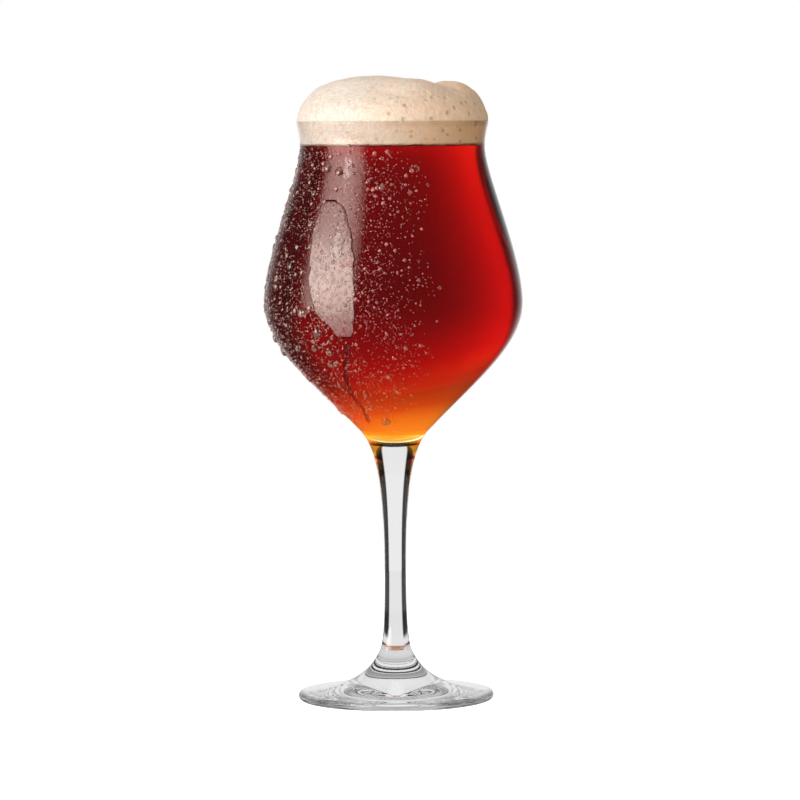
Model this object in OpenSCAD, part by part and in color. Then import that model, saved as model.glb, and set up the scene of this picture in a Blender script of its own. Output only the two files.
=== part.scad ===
// Stemmed tulip beer glass, full of red ale under a tall head, with water drops on one side.
// The glass is a round bowl, a drawn stem and a pressed foot, fused at two seams.
// The origin is the middle of the foot's underside and +Z is up. The photographed front faces -Y.

/* [Foot] */
// Diameter of the foot
foot_d = 68.4; // [60:0.2:78]
// Thickness of the foot at its rounded edge
foot_edge_t = 2.8; // [2:0.1:4]
// Width of the flat ring that the glass rests on
foot_ring_w = 3; // [2:0.5:8]
// Depth of the hollow under the foot
foot_hollow = 0.9; // [0.3:0.1:1.8]
// Height of the seam between foot and stem
foot_seam_h = 17.5; // [13:0.5:24]
// Diameter of the seam between foot and stem
foot_seam_d = 11; // [9:0.2:14]

/* [Stem] */
// Length of the stem between its two seams
stem_l = 77; // [60:1:95]
// Diameter of the stem where it is thinnest
stem_waist_d = 7.6; // [6:0.1:9]
// Height of that waist above the foot seam
stem_waist_h = 28.5; // [22:0.5:36]
// Diameter of the seam between stem and bowl
bowl_seam_d = 24.4; // [20:0.2:30]
// Depth of the dished top of the stem
stem_dish = 4.6; // [2:0.1:6]

/* [Bowl] */
// Height of the bowl from its seam to the rim
bowl_h = 107.5; // [98:0.5:120]
// Widest diameter of the bowl
belly_d = 90; // [82:0.5:98]
// Height of the widest place above the bowl's seam
belly_h = 44.5; // [38:0.5:50]
// Narrowest diameter, just under the rim
neck_d = 64.2; // [56:0.2:70]
// Depth of the neck below the rim
neck_below_rim = 9; // [5:0.5:14]
// Diameter of the rim, outside
rim_d = 66.8; // [60:0.2:74]
// Thickness of the bowl's wall
wall_t = 1.3; // [0.9:0.1:2]
// Thickness of the wall at the seam with the stem
base_wall_t = 3; // [2:0.1:4]
// Thickness of the bowl's floor on the axis
bowl_floor_t = 2; // [1.2:0.1:3]

/* [Drink] */
// Depth of the beer's surface below the rim
beer_below_rim = 7.7; // [3:0.1:20]
// Height of the foam above the rim
foam_rise = 16; // [6:0.5:22]
// Gap that the foam's edge keeps from the rim's outer edge
foam_inset = 0.1; // [0:0.1:1]

/* [Water on the glass] */
// Diameter of a full-sized large drop
drop_d = 3; // [1.6:0.1:4]
// Diameter of a full-sized fine drop
fine_drop_d = 1.5; // [0.8:0.1:2.2]
// Number of fine drops that are tried
fine_drop_count = 110; // [10:1:160]
// Clear glass left between a fine drop and its neighbours
drop_gap = 0.5; // [0.2:0.1:1.5]
// Thickness of the wet film
film_t = 0.3; // [0.2:0.05:0.6]
// Thickness of a water run
run_t = 0.7; // [0.4:0.05:1.2]
// Width of a water run
run_w = 1.7; // [0.8:0.1:3]

/* [Hidden] */
$fn = 96;

// Straight steps along each curve of an outline, and between two points of a water line
curve_steps = 12;
water_line_steps = 4;
// Sides of a drop
drop_sides = 48;

// Radii and levels that follow from the sizes above
foot_r = foot_d / 2;
foot_seam_r = foot_seam_d / 2;
waist_r = stem_waist_d / 2;
bowl_seam_r = bowl_seam_d / 2;
belly_r = belly_d / 2;
neck_r = neck_d / 2;
rim_r = rim_d / 2;
lip_r = wall_t / 2;
waist_z = foot_seam_h + stem_waist_h;
bowl_seam_z = foot_seam_h + stem_l;
belly_z = bowl_seam_z + belly_h;
rim_z = bowl_seam_z + bowl_h;
neck_z = rim_z - neck_below_rim;
lip_z = rim_z - lip_r;
bowl_floor_z = bowl_seam_z - stem_dish + bowl_floor_t;
beer_z = rim_z - beer_below_rim;

// Lean of the outline from upright at the two seams, in degrees
foot_seam_lean = 22;
bowl_seam_lean = 44;

// Where the curves' handles lie, as shares of the spans they bend
foot_handle_shares = [0.73, 0.44];
lower_stem_handle_shares = [0.42, 0.14];
upper_stem_handle_shares = [0.62, 0.165];
bowl_base_handle_shares = [0.34, 0.54];
shoulder_handle_shares = [0.30, 0.17];
rim_handle_shares = [0.36, 0.46, 0.7];

// Fullness of the foam's round top: 2 is an ellipse and more is squarer
foam_fullness = 2.3;
// Height of the foam's even part, as a share of its whole rise
foam_bed_share = 0.88;
// Lobes of the foam: [x, y, radius] as shares of the rim's radius, then height as a share of the rise
foam_lobe_shares = [
    [-0.20, 0.00, 0.78, 1.00], [0.57, 0.03, 0.41, 0.87],
    [0.14, -0.32, 0.58, 0.93], [0.12, 0.36, 0.58, 0.90],
];

// Height of a drop as a share of its diameter
drop_rise_share = 0.3;
// Large drops: [share of a turn from the front, share of the bowl's height, share of drop_d]
large_drop_shares = [
    [-0.117, 0.853, 1.10], [-0.092, 0.840, 1.00], [-0.136, 0.771, 0.75], [-0.017, 0.791, 0.80],
    [-0.039, 0.810, 0.60], [-0.128, 0.673, 0.80], [-0.153, 0.539, 0.75], [-0.183, 0.496, 0.80],
    [-0.125, 0.392, 0.90], [-0.104, 0.330, 1.05], [-0.094, 0.270, 1.05], [-0.101, 0.230, 1.00],
    [-0.118, 0.280, 0.80], [-0.154, 0.276, 0.85], [-0.062, 0.130, 0.70], [-0.028, 0.036, 1.10],
    [-0.214, 0.431, 0.90], [-0.200, 0.400, 0.70], [-0.212, 0.360, 0.90], [-0.230, 0.300, 0.90],
    [-0.244, 0.255, 1.00], [-0.290, 0.480, 0.90], [-0.330, 0.360, 1.05], [-0.300, 0.700, 0.80],
    [-0.380, 0.560, 0.85], [-0.360, 0.250, 1.00],
];

// Fine drops lie between these shares of a turn and of the bowl's height, strewn from two seeds
fine_turn_shares = [-0.45, 0.06];
fine_height_shares = [0.10, 0.90];
turn_seed = 5;
height_seed = 8;
// Sizes of the fine drops in turn, as shares of fine_drop_d
fine_size_shares = [1, 0.7, 0.85, 0.6, 0.95, 0.75];

// Edges of the wet film: [share of the bowl's height, left share of a turn, right share of a turn]
film_shares = [
    [0.755, -0.104, -0.092], [0.720, -0.116, -0.075], [0.670, -0.120, -0.061], [0.600, -0.119, -0.053],
    [0.510, -0.114, -0.049], [0.440, -0.107, -0.047], [0.400, -0.098, -0.048], [0.360, -0.083, -0.050],
    [0.335, -0.076, -0.052], [0.315, -0.069, -0.058],
];
// Thickness across the film from edge to edge, as shares of film_t
film_section_shares = [0.35, 0.85, 1, 1, 1, 1, 0.85, 0.35];
// Middle lines of the two water runs: [share of a turn, share of the bowl's height]
long_run_shares = [
    [-0.062, 0.307], [-0.066, 0.267], [-0.0765, 0.224], [-0.087, 0.179], [-0.094, 0.132],
    [-0.086, 0.083], [-0.095, 0.030],
];
hooked_run_shares = [
    [-0.0855, 0.620], [-0.0830, 0.585], [-0.0760, 0.566], [-0.0695, 0.585], [-0.0710, 0.615],
];
// Half section of a run: [share of its width, share of its thickness]
run_section_shares = [[-0.5, 0], [-0.38, 0.7], [0, 1], [0.38, 0.7], [0.5, 0]];

// One short step measures the slope of the wall
slope_step = 0.5;

// Point a share of the way from a to b
function mix(a, b, share) = a + (b - a) * share;

// Unit vector that leans by an angle from straight up
function leaning(lean) = [sin(lean), cos(lean)];

// Points along a curve with two end points and two handles
function curve(a, b, c, d) = [
    for (i = [0:curve_steps])
        let (t = i / curve_steps, u = 1 - t)
        u * u * u * a + 3 * u * u * t * b + 3 * u * t * t * c + t * t * t * d
];

// All points of a list but the first
function after_first(points) = [for (i = [1:len(points) - 1]) points[i]];

// Points of a list in the other order
function backwards(points) = [for (i = [len(points) - 1:-1:0]) points[i]];

// Unit normal to the left of an outline at one of its points
function left_normal(points, i) =
    let (
        a = points[max(i - 1, 0)],
        b = points[min(i + 1, len(points) - 1)],
        along = (b - a) / norm(b - a)
    )
    [-along.y, along.x];

// Top of the foot, from the seam out to its edge
foot_edge_r = foot_edge_t / 2;
foot_span = foot_r - foot_edge_r - foot_seam_r;
foot_drop = foot_seam_h - foot_edge_t;
foot_top = curve(
    [foot_seam_r, foot_seam_h],
    [foot_seam_r + foot_drop * foot_handle_shares[0] * tan(foot_seam_lean),
        foot_seam_h - foot_drop * foot_handle_shares[0]],
    [foot_r - foot_edge_r - foot_span * foot_handle_shares[1], foot_edge_t + foot_hollow],
    [foot_r - foot_edge_r, foot_edge_t]
);

// Rounded edge of the foot, from its top to the table
foot_edge = [
    for (i = [0:curve_steps])
        let (turn = 180 * i / curve_steps)
        [foot_r - foot_edge_r + foot_edge_r * sin(turn), foot_edge_r + foot_edge_r * cos(turn)]
];

// Hollow under the foot, from the rest ring in to the axis
foot_under_r = foot_r - foot_edge_r - foot_ring_w;
foot_under = [
    for (i = [0:curve_steps])
        let (t = i / curve_steps)
        [foot_under_r * (1 - t), foot_hollow * (1 - (1 - t) * (1 - t))]
];

// Side of the stem, from the foot seam up to the bowl seam
upper_stem_l = bowl_seam_z - waist_z;
lower_stem = curve(
    [foot_seam_r, foot_seam_h],
    [foot_seam_r, foot_seam_h]
        + stem_waist_h * lower_stem_handle_shares[1] * leaning(-foot_seam_lean),
    [waist_r, waist_z - stem_waist_h * lower_stem_handle_shares[0]],
    [waist_r, waist_z]
);
upper_stem = curve(
    [waist_r, waist_z],
    [waist_r, waist_z + upper_stem_l * upper_stem_handle_shares[0]],
    [bowl_seam_r, bowl_seam_z]
        - upper_stem_l * upper_stem_handle_shares[1] * leaning(bowl_seam_lean),
    [bowl_seam_r, bowl_seam_z]
);

// Dished seam between stem and bowl, from its edge in to the axis
seam_dish = [
    for (i = [0:curve_steps])
        let (t = 1 - i / curve_steps)
        [bowl_seam_r * t, bowl_seam_z - stem_dish * (1 - t * t)]
];

// Outside of the bowl, from its seam up to the lip
belly_to_neck = neck_z - belly_z;
neck_to_lip = lip_z - neck_z;
bowl_base = curve(
    [bowl_seam_r, bowl_seam_z],
    [bowl_seam_r, bowl_seam_z]
        + belly_h * bowl_base_handle_shares[1] * leaning(bowl_seam_lean),
    [belly_r, belly_z - belly_h * bowl_base_handle_shares[0]],
    [belly_r, belly_z]
);
bowl_shoulder = curve(
    [belly_r, belly_z],
    [belly_r, belly_z + belly_to_neck * shoulder_handle_shares[0]],
    [neck_r, neck_z - belly_to_neck * shoulder_handle_shares[1]],
    [neck_r, neck_z]
);
bowl_neck = curve(
    [neck_r, neck_z],
    [neck_r, neck_z + neck_to_lip * rim_handle_shares[0]],
    [mix(neck_r, rim_r, rim_handle_shares[1]), mix(neck_z, lip_z, rim_handle_shares[2])],
    [rim_r, lip_z]
);
bowl_outside = concat(bowl_base, after_first(bowl_shoulder), after_first(bowl_neck));

// Thickness of the wall at each point, which grows below the belly
base_end = len(bowl_base) - 1;
function wall_at(i) = mix(wall_t, base_wall_t, pow(max(1 - i / base_end, 0), 2));

// Inside of the bowl, from the floor's middle up to the lip
bowl_inner_wall = [
    for (i = [0:len(bowl_outside) - 1])
        bowl_outside[i] + wall_at(i) * left_normal(bowl_outside, i)
];
floor_edge = bowl_inner_wall[0];
floor_corner = [floor_edge.x - (floor_edge.y - bowl_floor_z) * tan(bowl_seam_lean), bowl_floor_z];
bowl_floor = [
    for (i = [0:curve_steps])
        let (t = i / curve_steps, u = 1 - t)
        u * u * [0, bowl_floor_z] + 2 * u * t * floor_corner + t * t * floor_edge
];
inner_end = len(bowl_inner_wall) - 1;
bowl_inside = concat(
    bowl_floor,
    [for (i = [1:inner_end - 1]) bowl_inner_wall[i]],
    [[rim_r - wall_t, lip_z]]
);

// Rounded lip, from the outside over the top to the inside
lip = [
    for (i = [0:curve_steps])
        let (turn = 180 * i / curve_steps)
        [rim_r - lip_r + lip_r * cos(turn), lip_z + lip_r * sin(turn)]
];

// Radius of the bowl's inside and outside at a height
inside_table = [for (p = bowl_inside) [p.y, p.x]];
outside_table = [for (p = bowl_outside) [p.y, p.x]];
function inside_r(z) = lookup(z, inside_table);
function outside_r(z) = lookup(z, outside_table);

// Lean of the bowl's outside from upright at a height, in degrees
function outside_lean(z) =
    atan2(outside_r(z + slope_step) - outside_r(z - slope_step), slope_step + slope_step);

// Height on the bowl from a share of its height
function bowl_level(share) = bowl_seam_z + bowl_h * share;

// Half outline of a foam lobe that stands on the rim's level, from its foot to its top
function lobe_outline(r, rise) = [
    for (i = [0:curve_steps])
        let (turn = 90 * i / curve_steps)
        [r * pow(cos(turn), 2 / foam_fullness), rim_z + rise * pow(sin(turn), 2 / foam_fullness)]
];

// Places of the fine drops: [share of a turn, share of the height, share of the size]
fine_turns = rands(fine_turn_shares[0], fine_turn_shares[1], fine_drop_count, turn_seed);
fine_heights = rands(fine_height_shares[0], fine_height_shares[1], fine_drop_count, height_seed);
fine_places = [
    for (i = [0:1:fine_drop_count - 1])
        [fine_turns[i], fine_heights[i], fine_size_shares[i % len(fine_size_shares)]]
];

// Point above the bowl's outside, at a share of a turn and of the height
function off_glass(place, rise) =
    let (
        z = bowl_level(place[1]),
        turn = 360 * place[0],
        lean = outside_lean(z),
        r = outside_r(z) + rise * cos(lean)
    )
    [r * sin(turn), -r * cos(turn), z - rise * sin(lean)];

// Fine drops that keep clear of the large drops, the wet film and the long run
film_low = min([for (row = long_run_shares) row[1]]);
film_high = max([for (row = film_shares) row[0]]);
film_left = min([for (row = film_shares) row[1]]);
film_right = max([for (row = film_shares) row[2]]);
function beside_film(place) =
    let (
        reach_z = fine_drop_d / bowl_h,
        reach_turn = fine_drop_d / neck_d
    )
    place[0] < film_left - reach_turn || place[0] > film_right + reach_turn
    || place[1] < film_low - reach_z || place[1] > film_high + reach_z;
function clearance(a, a_d, b, b_d) = norm(off_glass(a, 0) - off_glass(b, 0)) - (a_d + b_d) / 2;
function clear_of_large(place) =
    min([
        for (large = large_drop_shares)
            clearance(place, place[2] * fine_drop_d, large, large[2] * drop_d)
    ]) > drop_gap;
function clear_of_earlier(i) =
    i == 0 || min([
        for (k = [0:1:i - 1])
            clearance(fine_places[i], fine_places[i][2] * fine_drop_d,
                fine_places[k], fine_places[k][2] * fine_drop_d)
    ]) > drop_gap;
fine_kept = [
    for (i = [0:1:len(fine_places) - 1])
        if (beside_film(fine_places[i]) && clear_of_large(fine_places[i]) && clear_of_earlier(i))
            fine_places[i]
];

// Smooth open line through points
function bend(a, b, c, d, t) =
    (2 * b + (c - a) * t + (2 * a - 5 * b + 4 * c - d) * t * t
        + (3 * b - a - 3 * c + d) * t * t * t) / 2;
function smooth_line(points) =
    let (n = len(points))
    concat(
        [
            for (i = [0:n - 2])
                for (k = [0:water_line_steps - 1])
                    bend(points[max(i - 1, 0)], points[i], points[i + 1],
                        points[min(i + 2, n - 1)], k / water_line_steps)
        ],
        [points[n - 1]]
    );

// Closed solid through rings that each have the same number of points
module loft(rings) {
    n = len(rings[0]);
    last = len(rings) - 1;
    sides = [
        for (j = [0:last - 1])
            for (i = [0:n - 1])
                let (
                    a = j * n + i,
                    b = j * n + (i + 1) % n
                )
                each [[a, b, b + n], [a, b + n, a + n]]
    ];
    first_cap = [for (i = [1:n - 2]) [0, i + 1, i]];
    last_cap = [for (i = [1:n - 2]) [last * n, last * n + i, last * n + i + 1]];
    polyhedron([for (ring = rings) each ring], concat(first_cap, sides, last_cap));
}

// A flat facet of the film would cut this deep into the round glass, so it is raised by as much
film_end = len(film_section_shares) - 1;
facet_turn = max([for (row = film_shares) row[2] - row[1]]) / film_end;
facet_sag = belly_r * (1 - cos(180 * facet_turn));

// One ring of the film: along the glass from right to left, and back over its outside
function film_ring(row) =
    let (step = (row[2] - row[1]) / film_end)
    concat(
        [for (i = [film_end:-1:0]) off_glass([row[1] + i * step, row[0]], facet_sag)],
        [
            for (i = [0:film_end])
                off_glass([row[1] + i * step, row[0]], facet_sag + film_section_shares[i] * film_t)
        ]
    );

// One ring of a run across its middle line
function run_ring(line, i, seat) =
    let (
        a = off_glass(line[max(i - 1, 0)], seat),
        b = off_glass(line[min(i + 1, len(line) - 1)], seat),
        along = (b - a) / norm(b - a),
        middle = off_glass(line[i], seat),
        raised = off_glass(line[i], seat + run_t) - middle,
        across = cross(along, raised) / norm(cross(along, raised))
    )
    [for (s = run_section_shares) middle + s[0] * run_w * across + s[1] * raised];

// Drop that sits on the glass: a ball cut off by its flat base
module drop(place, full_d) {
    d = place[2] * full_d;
    rise = d * drop_rise_share;
    ball_r = (d * d / 4 + rise * rise) / (2 * rise);
    z = bowl_level(place[1]);
    rotate([0, 0, 360 * place[0]])
        translate([0, -outside_r(z), z])
            rotate([90 + outside_lean(z), 0, 0])
                intersection() {
                    translate([0, 0, rise - ball_r])
                        sphere(r = ball_r, $fn = drop_sides);
                    cylinder(h = rise, d = d, $fn = drop_sides);
                }
}

module foot() {
    color("gainsboro", 0.5)
        rotate_extrude()
            polygon(concat(
                foot_top,
                after_first(foot_edge),
                foot_under,
                [[0, foot_seam_h]]
            ));
}

module stem() {
    color("whitesmoke", 0.5)
        rotate_extrude()
            polygon(concat(
                [[0, foot_seam_h]],
                lower_stem,
                after_first(upper_stem),
                after_first(seam_dish)
            ));
}

module bowl() {
    color("lavender", 0.5)
        rotate_extrude()
            polygon(concat(
                bowl_outside,
                after_first(lip),
                after_first(backwards(bowl_inside)),
                backwards(seam_dish)
            ));
}

module beer() {
    color("firebrick")
        rotate_extrude()
            polygon(concat(
                [for (p = bowl_inside) if (p.y < beer_z) p],
                [[inside_r(beer_z), beer_z], [0, beer_z]]
            ));
}

module foam_head() {
    bed_r = rim_r - foam_inset;
    lip_inner = [for (p = backwards(lip)) if (p.x < rim_r - lip_r) p];
    color("bisque")
        union() {
            rotate_extrude()
                polygon(concat(
                    [[0, beer_z], [inside_r(beer_z), beer_z]],
                    [for (p = bowl_inside) if (p.y > beer_z && p.y < lip_z) p],
                    lip_inner,
                    [[rim_r - lip_r, rim_z]],
                    lobe_outline(bed_r, foam_rise * foam_bed_share)
                ));
            for (lobe = foam_lobe_shares)
                translate([lobe[0] * bed_r, lobe[1] * bed_r, 0])
                    rotate_extrude()
                        polygon(concat(
                            [[0, rim_z]],
                            lobe_outline(lobe[2] * bed_r, lobe[3] * foam_rise)
                        ));
        }
}

module large_drops() {
    color("aliceblue")
        for (place = large_drop_shares) drop(place, drop_d);
}

module fine_drops() {
    color("azure")
        for (place = fine_kept) drop(place, fine_drop_d);
}

module run(shares, seat) {
    line = smooth_line(shares);
    loft([for (i = [0:len(line) - 1]) run_ring(line, i, seat)]);
}

module water_runs() {
    color("lightblue")
        union() {
            run(long_run_shares, facet_sag);
            run(hooked_run_shares, facet_sag + film_t);
        }
}

module water_film() {
    color("powderblue", 0.6)
        loft([for (row = smooth_line(film_shares)) film_ring(row)]);
}

foot();
stem();
bowl();
beer();
foam_head();
large_drops();
fine_drops();
water_film();
water_runs();
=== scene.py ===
"""Looks of a stemmed tulip beer glass: clear glass, red ale, foam and the water on its outside."""

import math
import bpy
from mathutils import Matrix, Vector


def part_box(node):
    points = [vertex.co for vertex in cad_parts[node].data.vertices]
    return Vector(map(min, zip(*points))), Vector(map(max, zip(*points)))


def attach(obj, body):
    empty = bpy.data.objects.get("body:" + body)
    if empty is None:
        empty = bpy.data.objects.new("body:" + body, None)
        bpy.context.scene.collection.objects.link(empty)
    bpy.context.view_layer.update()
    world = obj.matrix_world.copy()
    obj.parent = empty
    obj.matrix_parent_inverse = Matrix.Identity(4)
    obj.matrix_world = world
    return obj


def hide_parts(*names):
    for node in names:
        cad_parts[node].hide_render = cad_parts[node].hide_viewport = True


bl_info = {
    "name": "Stemmed beer glass",
    "version": (1, 0, 0),
    "blender": (4, 5, 0),
    "location": "View3D > Sidebar > Beer Glass",
    "description": "Dresses the packed glass with clear glass, ale, foam and water drops",
    "category": "Object",
}

import bpy
import numpy as np
from mathutils import Matrix, Vector
from mathutils.noise import noise

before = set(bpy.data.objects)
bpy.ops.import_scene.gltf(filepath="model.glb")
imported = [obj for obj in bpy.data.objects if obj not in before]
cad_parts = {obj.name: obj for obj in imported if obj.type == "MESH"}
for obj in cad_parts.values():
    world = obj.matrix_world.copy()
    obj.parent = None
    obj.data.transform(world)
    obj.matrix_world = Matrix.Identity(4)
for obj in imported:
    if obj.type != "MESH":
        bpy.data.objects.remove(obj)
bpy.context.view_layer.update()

MM = 0.001

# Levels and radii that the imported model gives
FOOT_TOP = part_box("foot")[1].z
SEAM_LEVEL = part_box("stem")[1].z
RIM_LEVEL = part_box("bowl")[1].z
BELLY_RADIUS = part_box("bowl")[1].x
BEER_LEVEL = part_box("beer")[1].z
FOAM_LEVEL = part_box("foam_head")[1].z
BOWL_HEIGHT = RIM_LEVEL - SEAM_LEVEL


# ---------------------------------------------------------------- sizes and colours


class GlassSettings(bpy.types.PropertyGroup):
    facets: bpy.props.IntProperty(
        name="Facets", description="Faces round each turned piece", default=256, min=64, max=512
    )
    ior: bpy.props.FloatProperty(
        name="IOR", description="Refractive index of the glass", default=1.5, min=1.4, max=1.7
    )
    tint: bpy.props.FloatVectorProperty(
        name="Tint",
        description="Colour that the glass gives to light that passes a surface",
        subtype="COLOR",
        default=(0.992, 0.996, 0.996),
        min=0.0,
        max=1.0,
    )
    # Painted tint: a colour that stands for the beer's red light that the bowl's wall carries
    beer_light_tint: bpy.props.FloatVectorProperty(
        name="Stained",
        description="Colour that the wall takes from the beer behind it",
        subtype="COLOR",
        default=(0.90, 0.52, 0.48),
        min=0.0,
        max=1.0,
    )
    mist: bpy.props.FloatProperty(
        name="Mist",
        description="Roughness of the misted glass on the cold wet side",
        subtype="FACTOR",
        default=0.06,
        min=0.0,
        max=0.6,
    )


class BeerSettings(bpy.types.PropertyGroup):
    ior: bpy.props.FloatProperty(
        name="IOR", description="Refractive index of the beer", default=1.34, min=1.3, max=1.4
    )
    colour: bpy.props.FloatVectorProperty(
        name="Colour",
        description="Colour that the beer lets through",
        subtype="COLOR",
        default=(0.953, 0.65, 0.03),
        min=0.0,
        max=1.0,
    )
    strength: bpy.props.FloatProperty(
        name="Strength",
        description="How strongly the beer absorbs light, per metre",
        default=300.0,
    )
    # Glow is painted light: the strength of the beer's emission, which stands for light from behind
    glow: bpy.props.FloatProperty(
        name="Glow",
        description="Strength of the amber glow at the base of the bowl",
        default=0.44,
    )
    seat: bpy.props.FloatProperty(
        name="Seat",
        description="Depth that the beer reaches into the wall, so that no air lies between",
        subtype="DISTANCE",
        unit="LENGTH",
        default=0.08 * MM,
    )


class FoamSettings(bpy.types.PropertyGroup):
    cream: bpy.props.FloatVectorProperty(
        name="Cream",
        description="Colour of the foam",
        subtype="COLOR",
        default=(0.99, 0.90, 0.80),
        min=0.0,
        max=1.0,
    )
    # Painted shade, partly: the colour of the foam's right side, away from the key light, and of
    # the gaps between fine bubbles; also the colour of beer-wet foam
    tan: bpy.props.FloatVectorProperty(
        name="Tan",
        description="Colour of the foam where it is wet with beer",
        subtype="COLOR",
        default=(0.82, 0.51, 0.27),
        min=0.0,
        max=1.0,
    )
    bubble: bpy.props.FloatProperty(
        name="Bubble size",
        description="Width of a fine bubble",
        subtype="DISTANCE",
        unit="LENGTH",
        default=0.72 * MM,
    )
    swell: bpy.props.FloatProperty(
        name="Swell",
        description="Height of the soft swells on the foam",
        subtype="DISTANCE",
        unit="LENGTH",
        default=0.45 * MM,
    )


class WaterSettings(bpy.types.PropertyGroup):
    ior: bpy.props.FloatProperty(
        name="IOR", description="Refractive index of water", default=1.33, min=1.3, max=1.4
    )
    # Rim sets a painted shade: how dark the edge of each drop is drawn
    rim: bpy.props.FloatProperty(
        name="Rim",
        description="How dark the edge of a drop is",
        subtype="FACTOR",
        default=0.85,
        min=0.0,
        max=1.0,
    )
    # Lit is a share of painted light: a matt red, pale or amber colour on each bead's top, lit by
    # the lamps
    lit: bpy.props.FloatProperty(
        name="Lit",
        description="Share of a bead that is lit as if by tiny facets",
        subtype="FACTOR",
        default=0.52,
        min=0.0,
        max=1.0,
    )
    sparkle: bpy.props.FloatProperty(
        name="Sparkle",
        description="Share of extra gloss on the drops, which stands for their many tiny facets",
        subtype="FACTOR",
        default=0.5,
        min=0.0,
        max=1.0,
    )
    beads: bpy.props.IntProperty(
        name="Beads",
        description="Number of fine beads on 100 cm2 of the wet side",
        default=9500,
        min=100,
        max=12000,
    )
    bead_drops: bpy.props.IntProperty(
        name="Bead drops",
        description="Number of larger beads on 100 cm2 of the wet side",
        default=480,
        min=10,
        max=900,
    )
    bead_small: bpy.props.FloatProperty(
        name="Smallest bead",
        description="Radius of the smallest bead",
        subtype="DISTANCE",
        unit="LENGTH",
        default=0.20 * MM,
    )
    bead_middle: bpy.props.FloatProperty(
        name="Middle bead",
        description="Radius of the largest fine bead and the smallest larger one",
        subtype="DISTANCE",
        unit="LENGTH",
        default=0.46 * MM,
    )
    bead_large: bpy.props.FloatProperty(
        name="Largest bead",
        description="Radius of the largest bead",
        subtype="DISTANCE",
        unit="LENGTH",
        default=0.95 * MM,
    )
    bead_seed: bpy.props.IntProperty(name="Bead seed", description="Seed of the beads", default=11)
    seat: bpy.props.FloatProperty(
        name="Seat",
        description="Depth that water reaches into the glass, so that no air lies between",
        subtype="DISTANCE",
        unit="LENGTH",
        default=0.05 * MM,
    )
    film: bpy.props.FloatProperty(
        name="Film",
        description="Thickness of the wet film",
        subtype="DISTANCE",
        unit="LENGTH",
        default=0.28 * MM,
    )
    run: bpy.props.FloatProperty(
        name="Run width",
        description="Width of a water run",
        subtype="DISTANCE",
        unit="LENGTH",
        default=1.7 * MM,
    )


class StageSettings(bpy.types.PropertyGroup):
    lens: bpy.props.FloatProperty(
        name="Lens", description="Focal length of the camera in millimetres", default=190.15
    )
    distance: bpy.props.FloatProperty(
        name="Camera distance",
        description="Distance of the camera from the axis of the glass",
        subtype="DISTANCE",
        unit="LENGTH",
        default=1.472,
    )
    eye_level: bpy.props.FloatProperty(
        name="Eye level",
        description="Height of the camera above the table",
        subtype="DISTANCE",
        unit="LENGTH",
        default=0.204,
    )
    pitch: bpy.props.FloatProperty(
        name="Pitch",
        description="Angle that the camera looks down",
        subtype="ANGLE",
        unit="ROTATION",
        default=math.radians(3.855),
    )
    yaw: bpy.props.FloatProperty(
        name="Yaw",
        description="Angle that the camera looks to the right of the axis",
        subtype="ANGLE",
        unit="ROTATION",
        default=math.radians(0.0786),
    )
    roll: bpy.props.FloatProperty(
        name="Roll",
        description="Angle that the camera leans",
        subtype="ANGLE",
        unit="ROTATION",
        default=math.radians(-0.38),
    )
    floor_radius: bpy.props.FloatProperty(
        name="Floor radius",
        description="Radius of the round floor",
        subtype="DISTANCE",
        unit="LENGTH",
        default=0.42,
    )
    key: bpy.props.FloatProperty(
        name="Key light", description="Radiance of the light on foam and floor", default=3.15
    )
    softbox: bpy.props.FloatProperty(
        name="Softbox", description="Radiance of the softbox that gloss shows", default=5.3
    )
    glint: bpy.props.FloatProperty(
        name="Glint", description="Radiance of the small bright light that drops show", default=7.0
    )
    back_strip: bpy.props.FloatProperty(
        name="Back strip",
        description="Radiance of the panel behind the bowl at its bright left",
        default=2.5,
    )
    fill: bpy.props.FloatProperty(
        name="Fill", description="Level of the even light from all sides", default=0.50
    )


GROUPS = {
    "beer_glass": GlassSettings,
    "beer_fill": BeerSettings,
    "beer_foam": FoamSettings,
    "beer_water": WaterSettings,
    "beer_stage": StageSettings,
}


# ---------------------------------------------------------------- shader sheets


class Socket:
    """An output of a shader node, which adds a Math node when it takes part in a sum."""

    def __init__(self, sheet, socket):
        self.sheet = sheet
        self.socket = socket

    def __add__(self, other):
        return self.sheet.maths("ADD", self, other)

    def __radd__(self, other):
        return self.sheet.maths("ADD", other, self)

    def __sub__(self, other):
        return self.sheet.maths("SUBTRACT", self, other)

    def __rsub__(self, other):
        return self.sheet.maths("SUBTRACT", other, self)

    def __mul__(self, other):
        return self.sheet.maths("MULTIPLY", self, other)

    def __rmul__(self, other):
        return self.sheet.maths("MULTIPLY", other, self)

    def __truediv__(self, other):
        return self.sheet.maths("DIVIDE", self, other)

    def more_than(self, other):
        return self.sheet.maths("GREATER_THAN", self, other)


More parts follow.
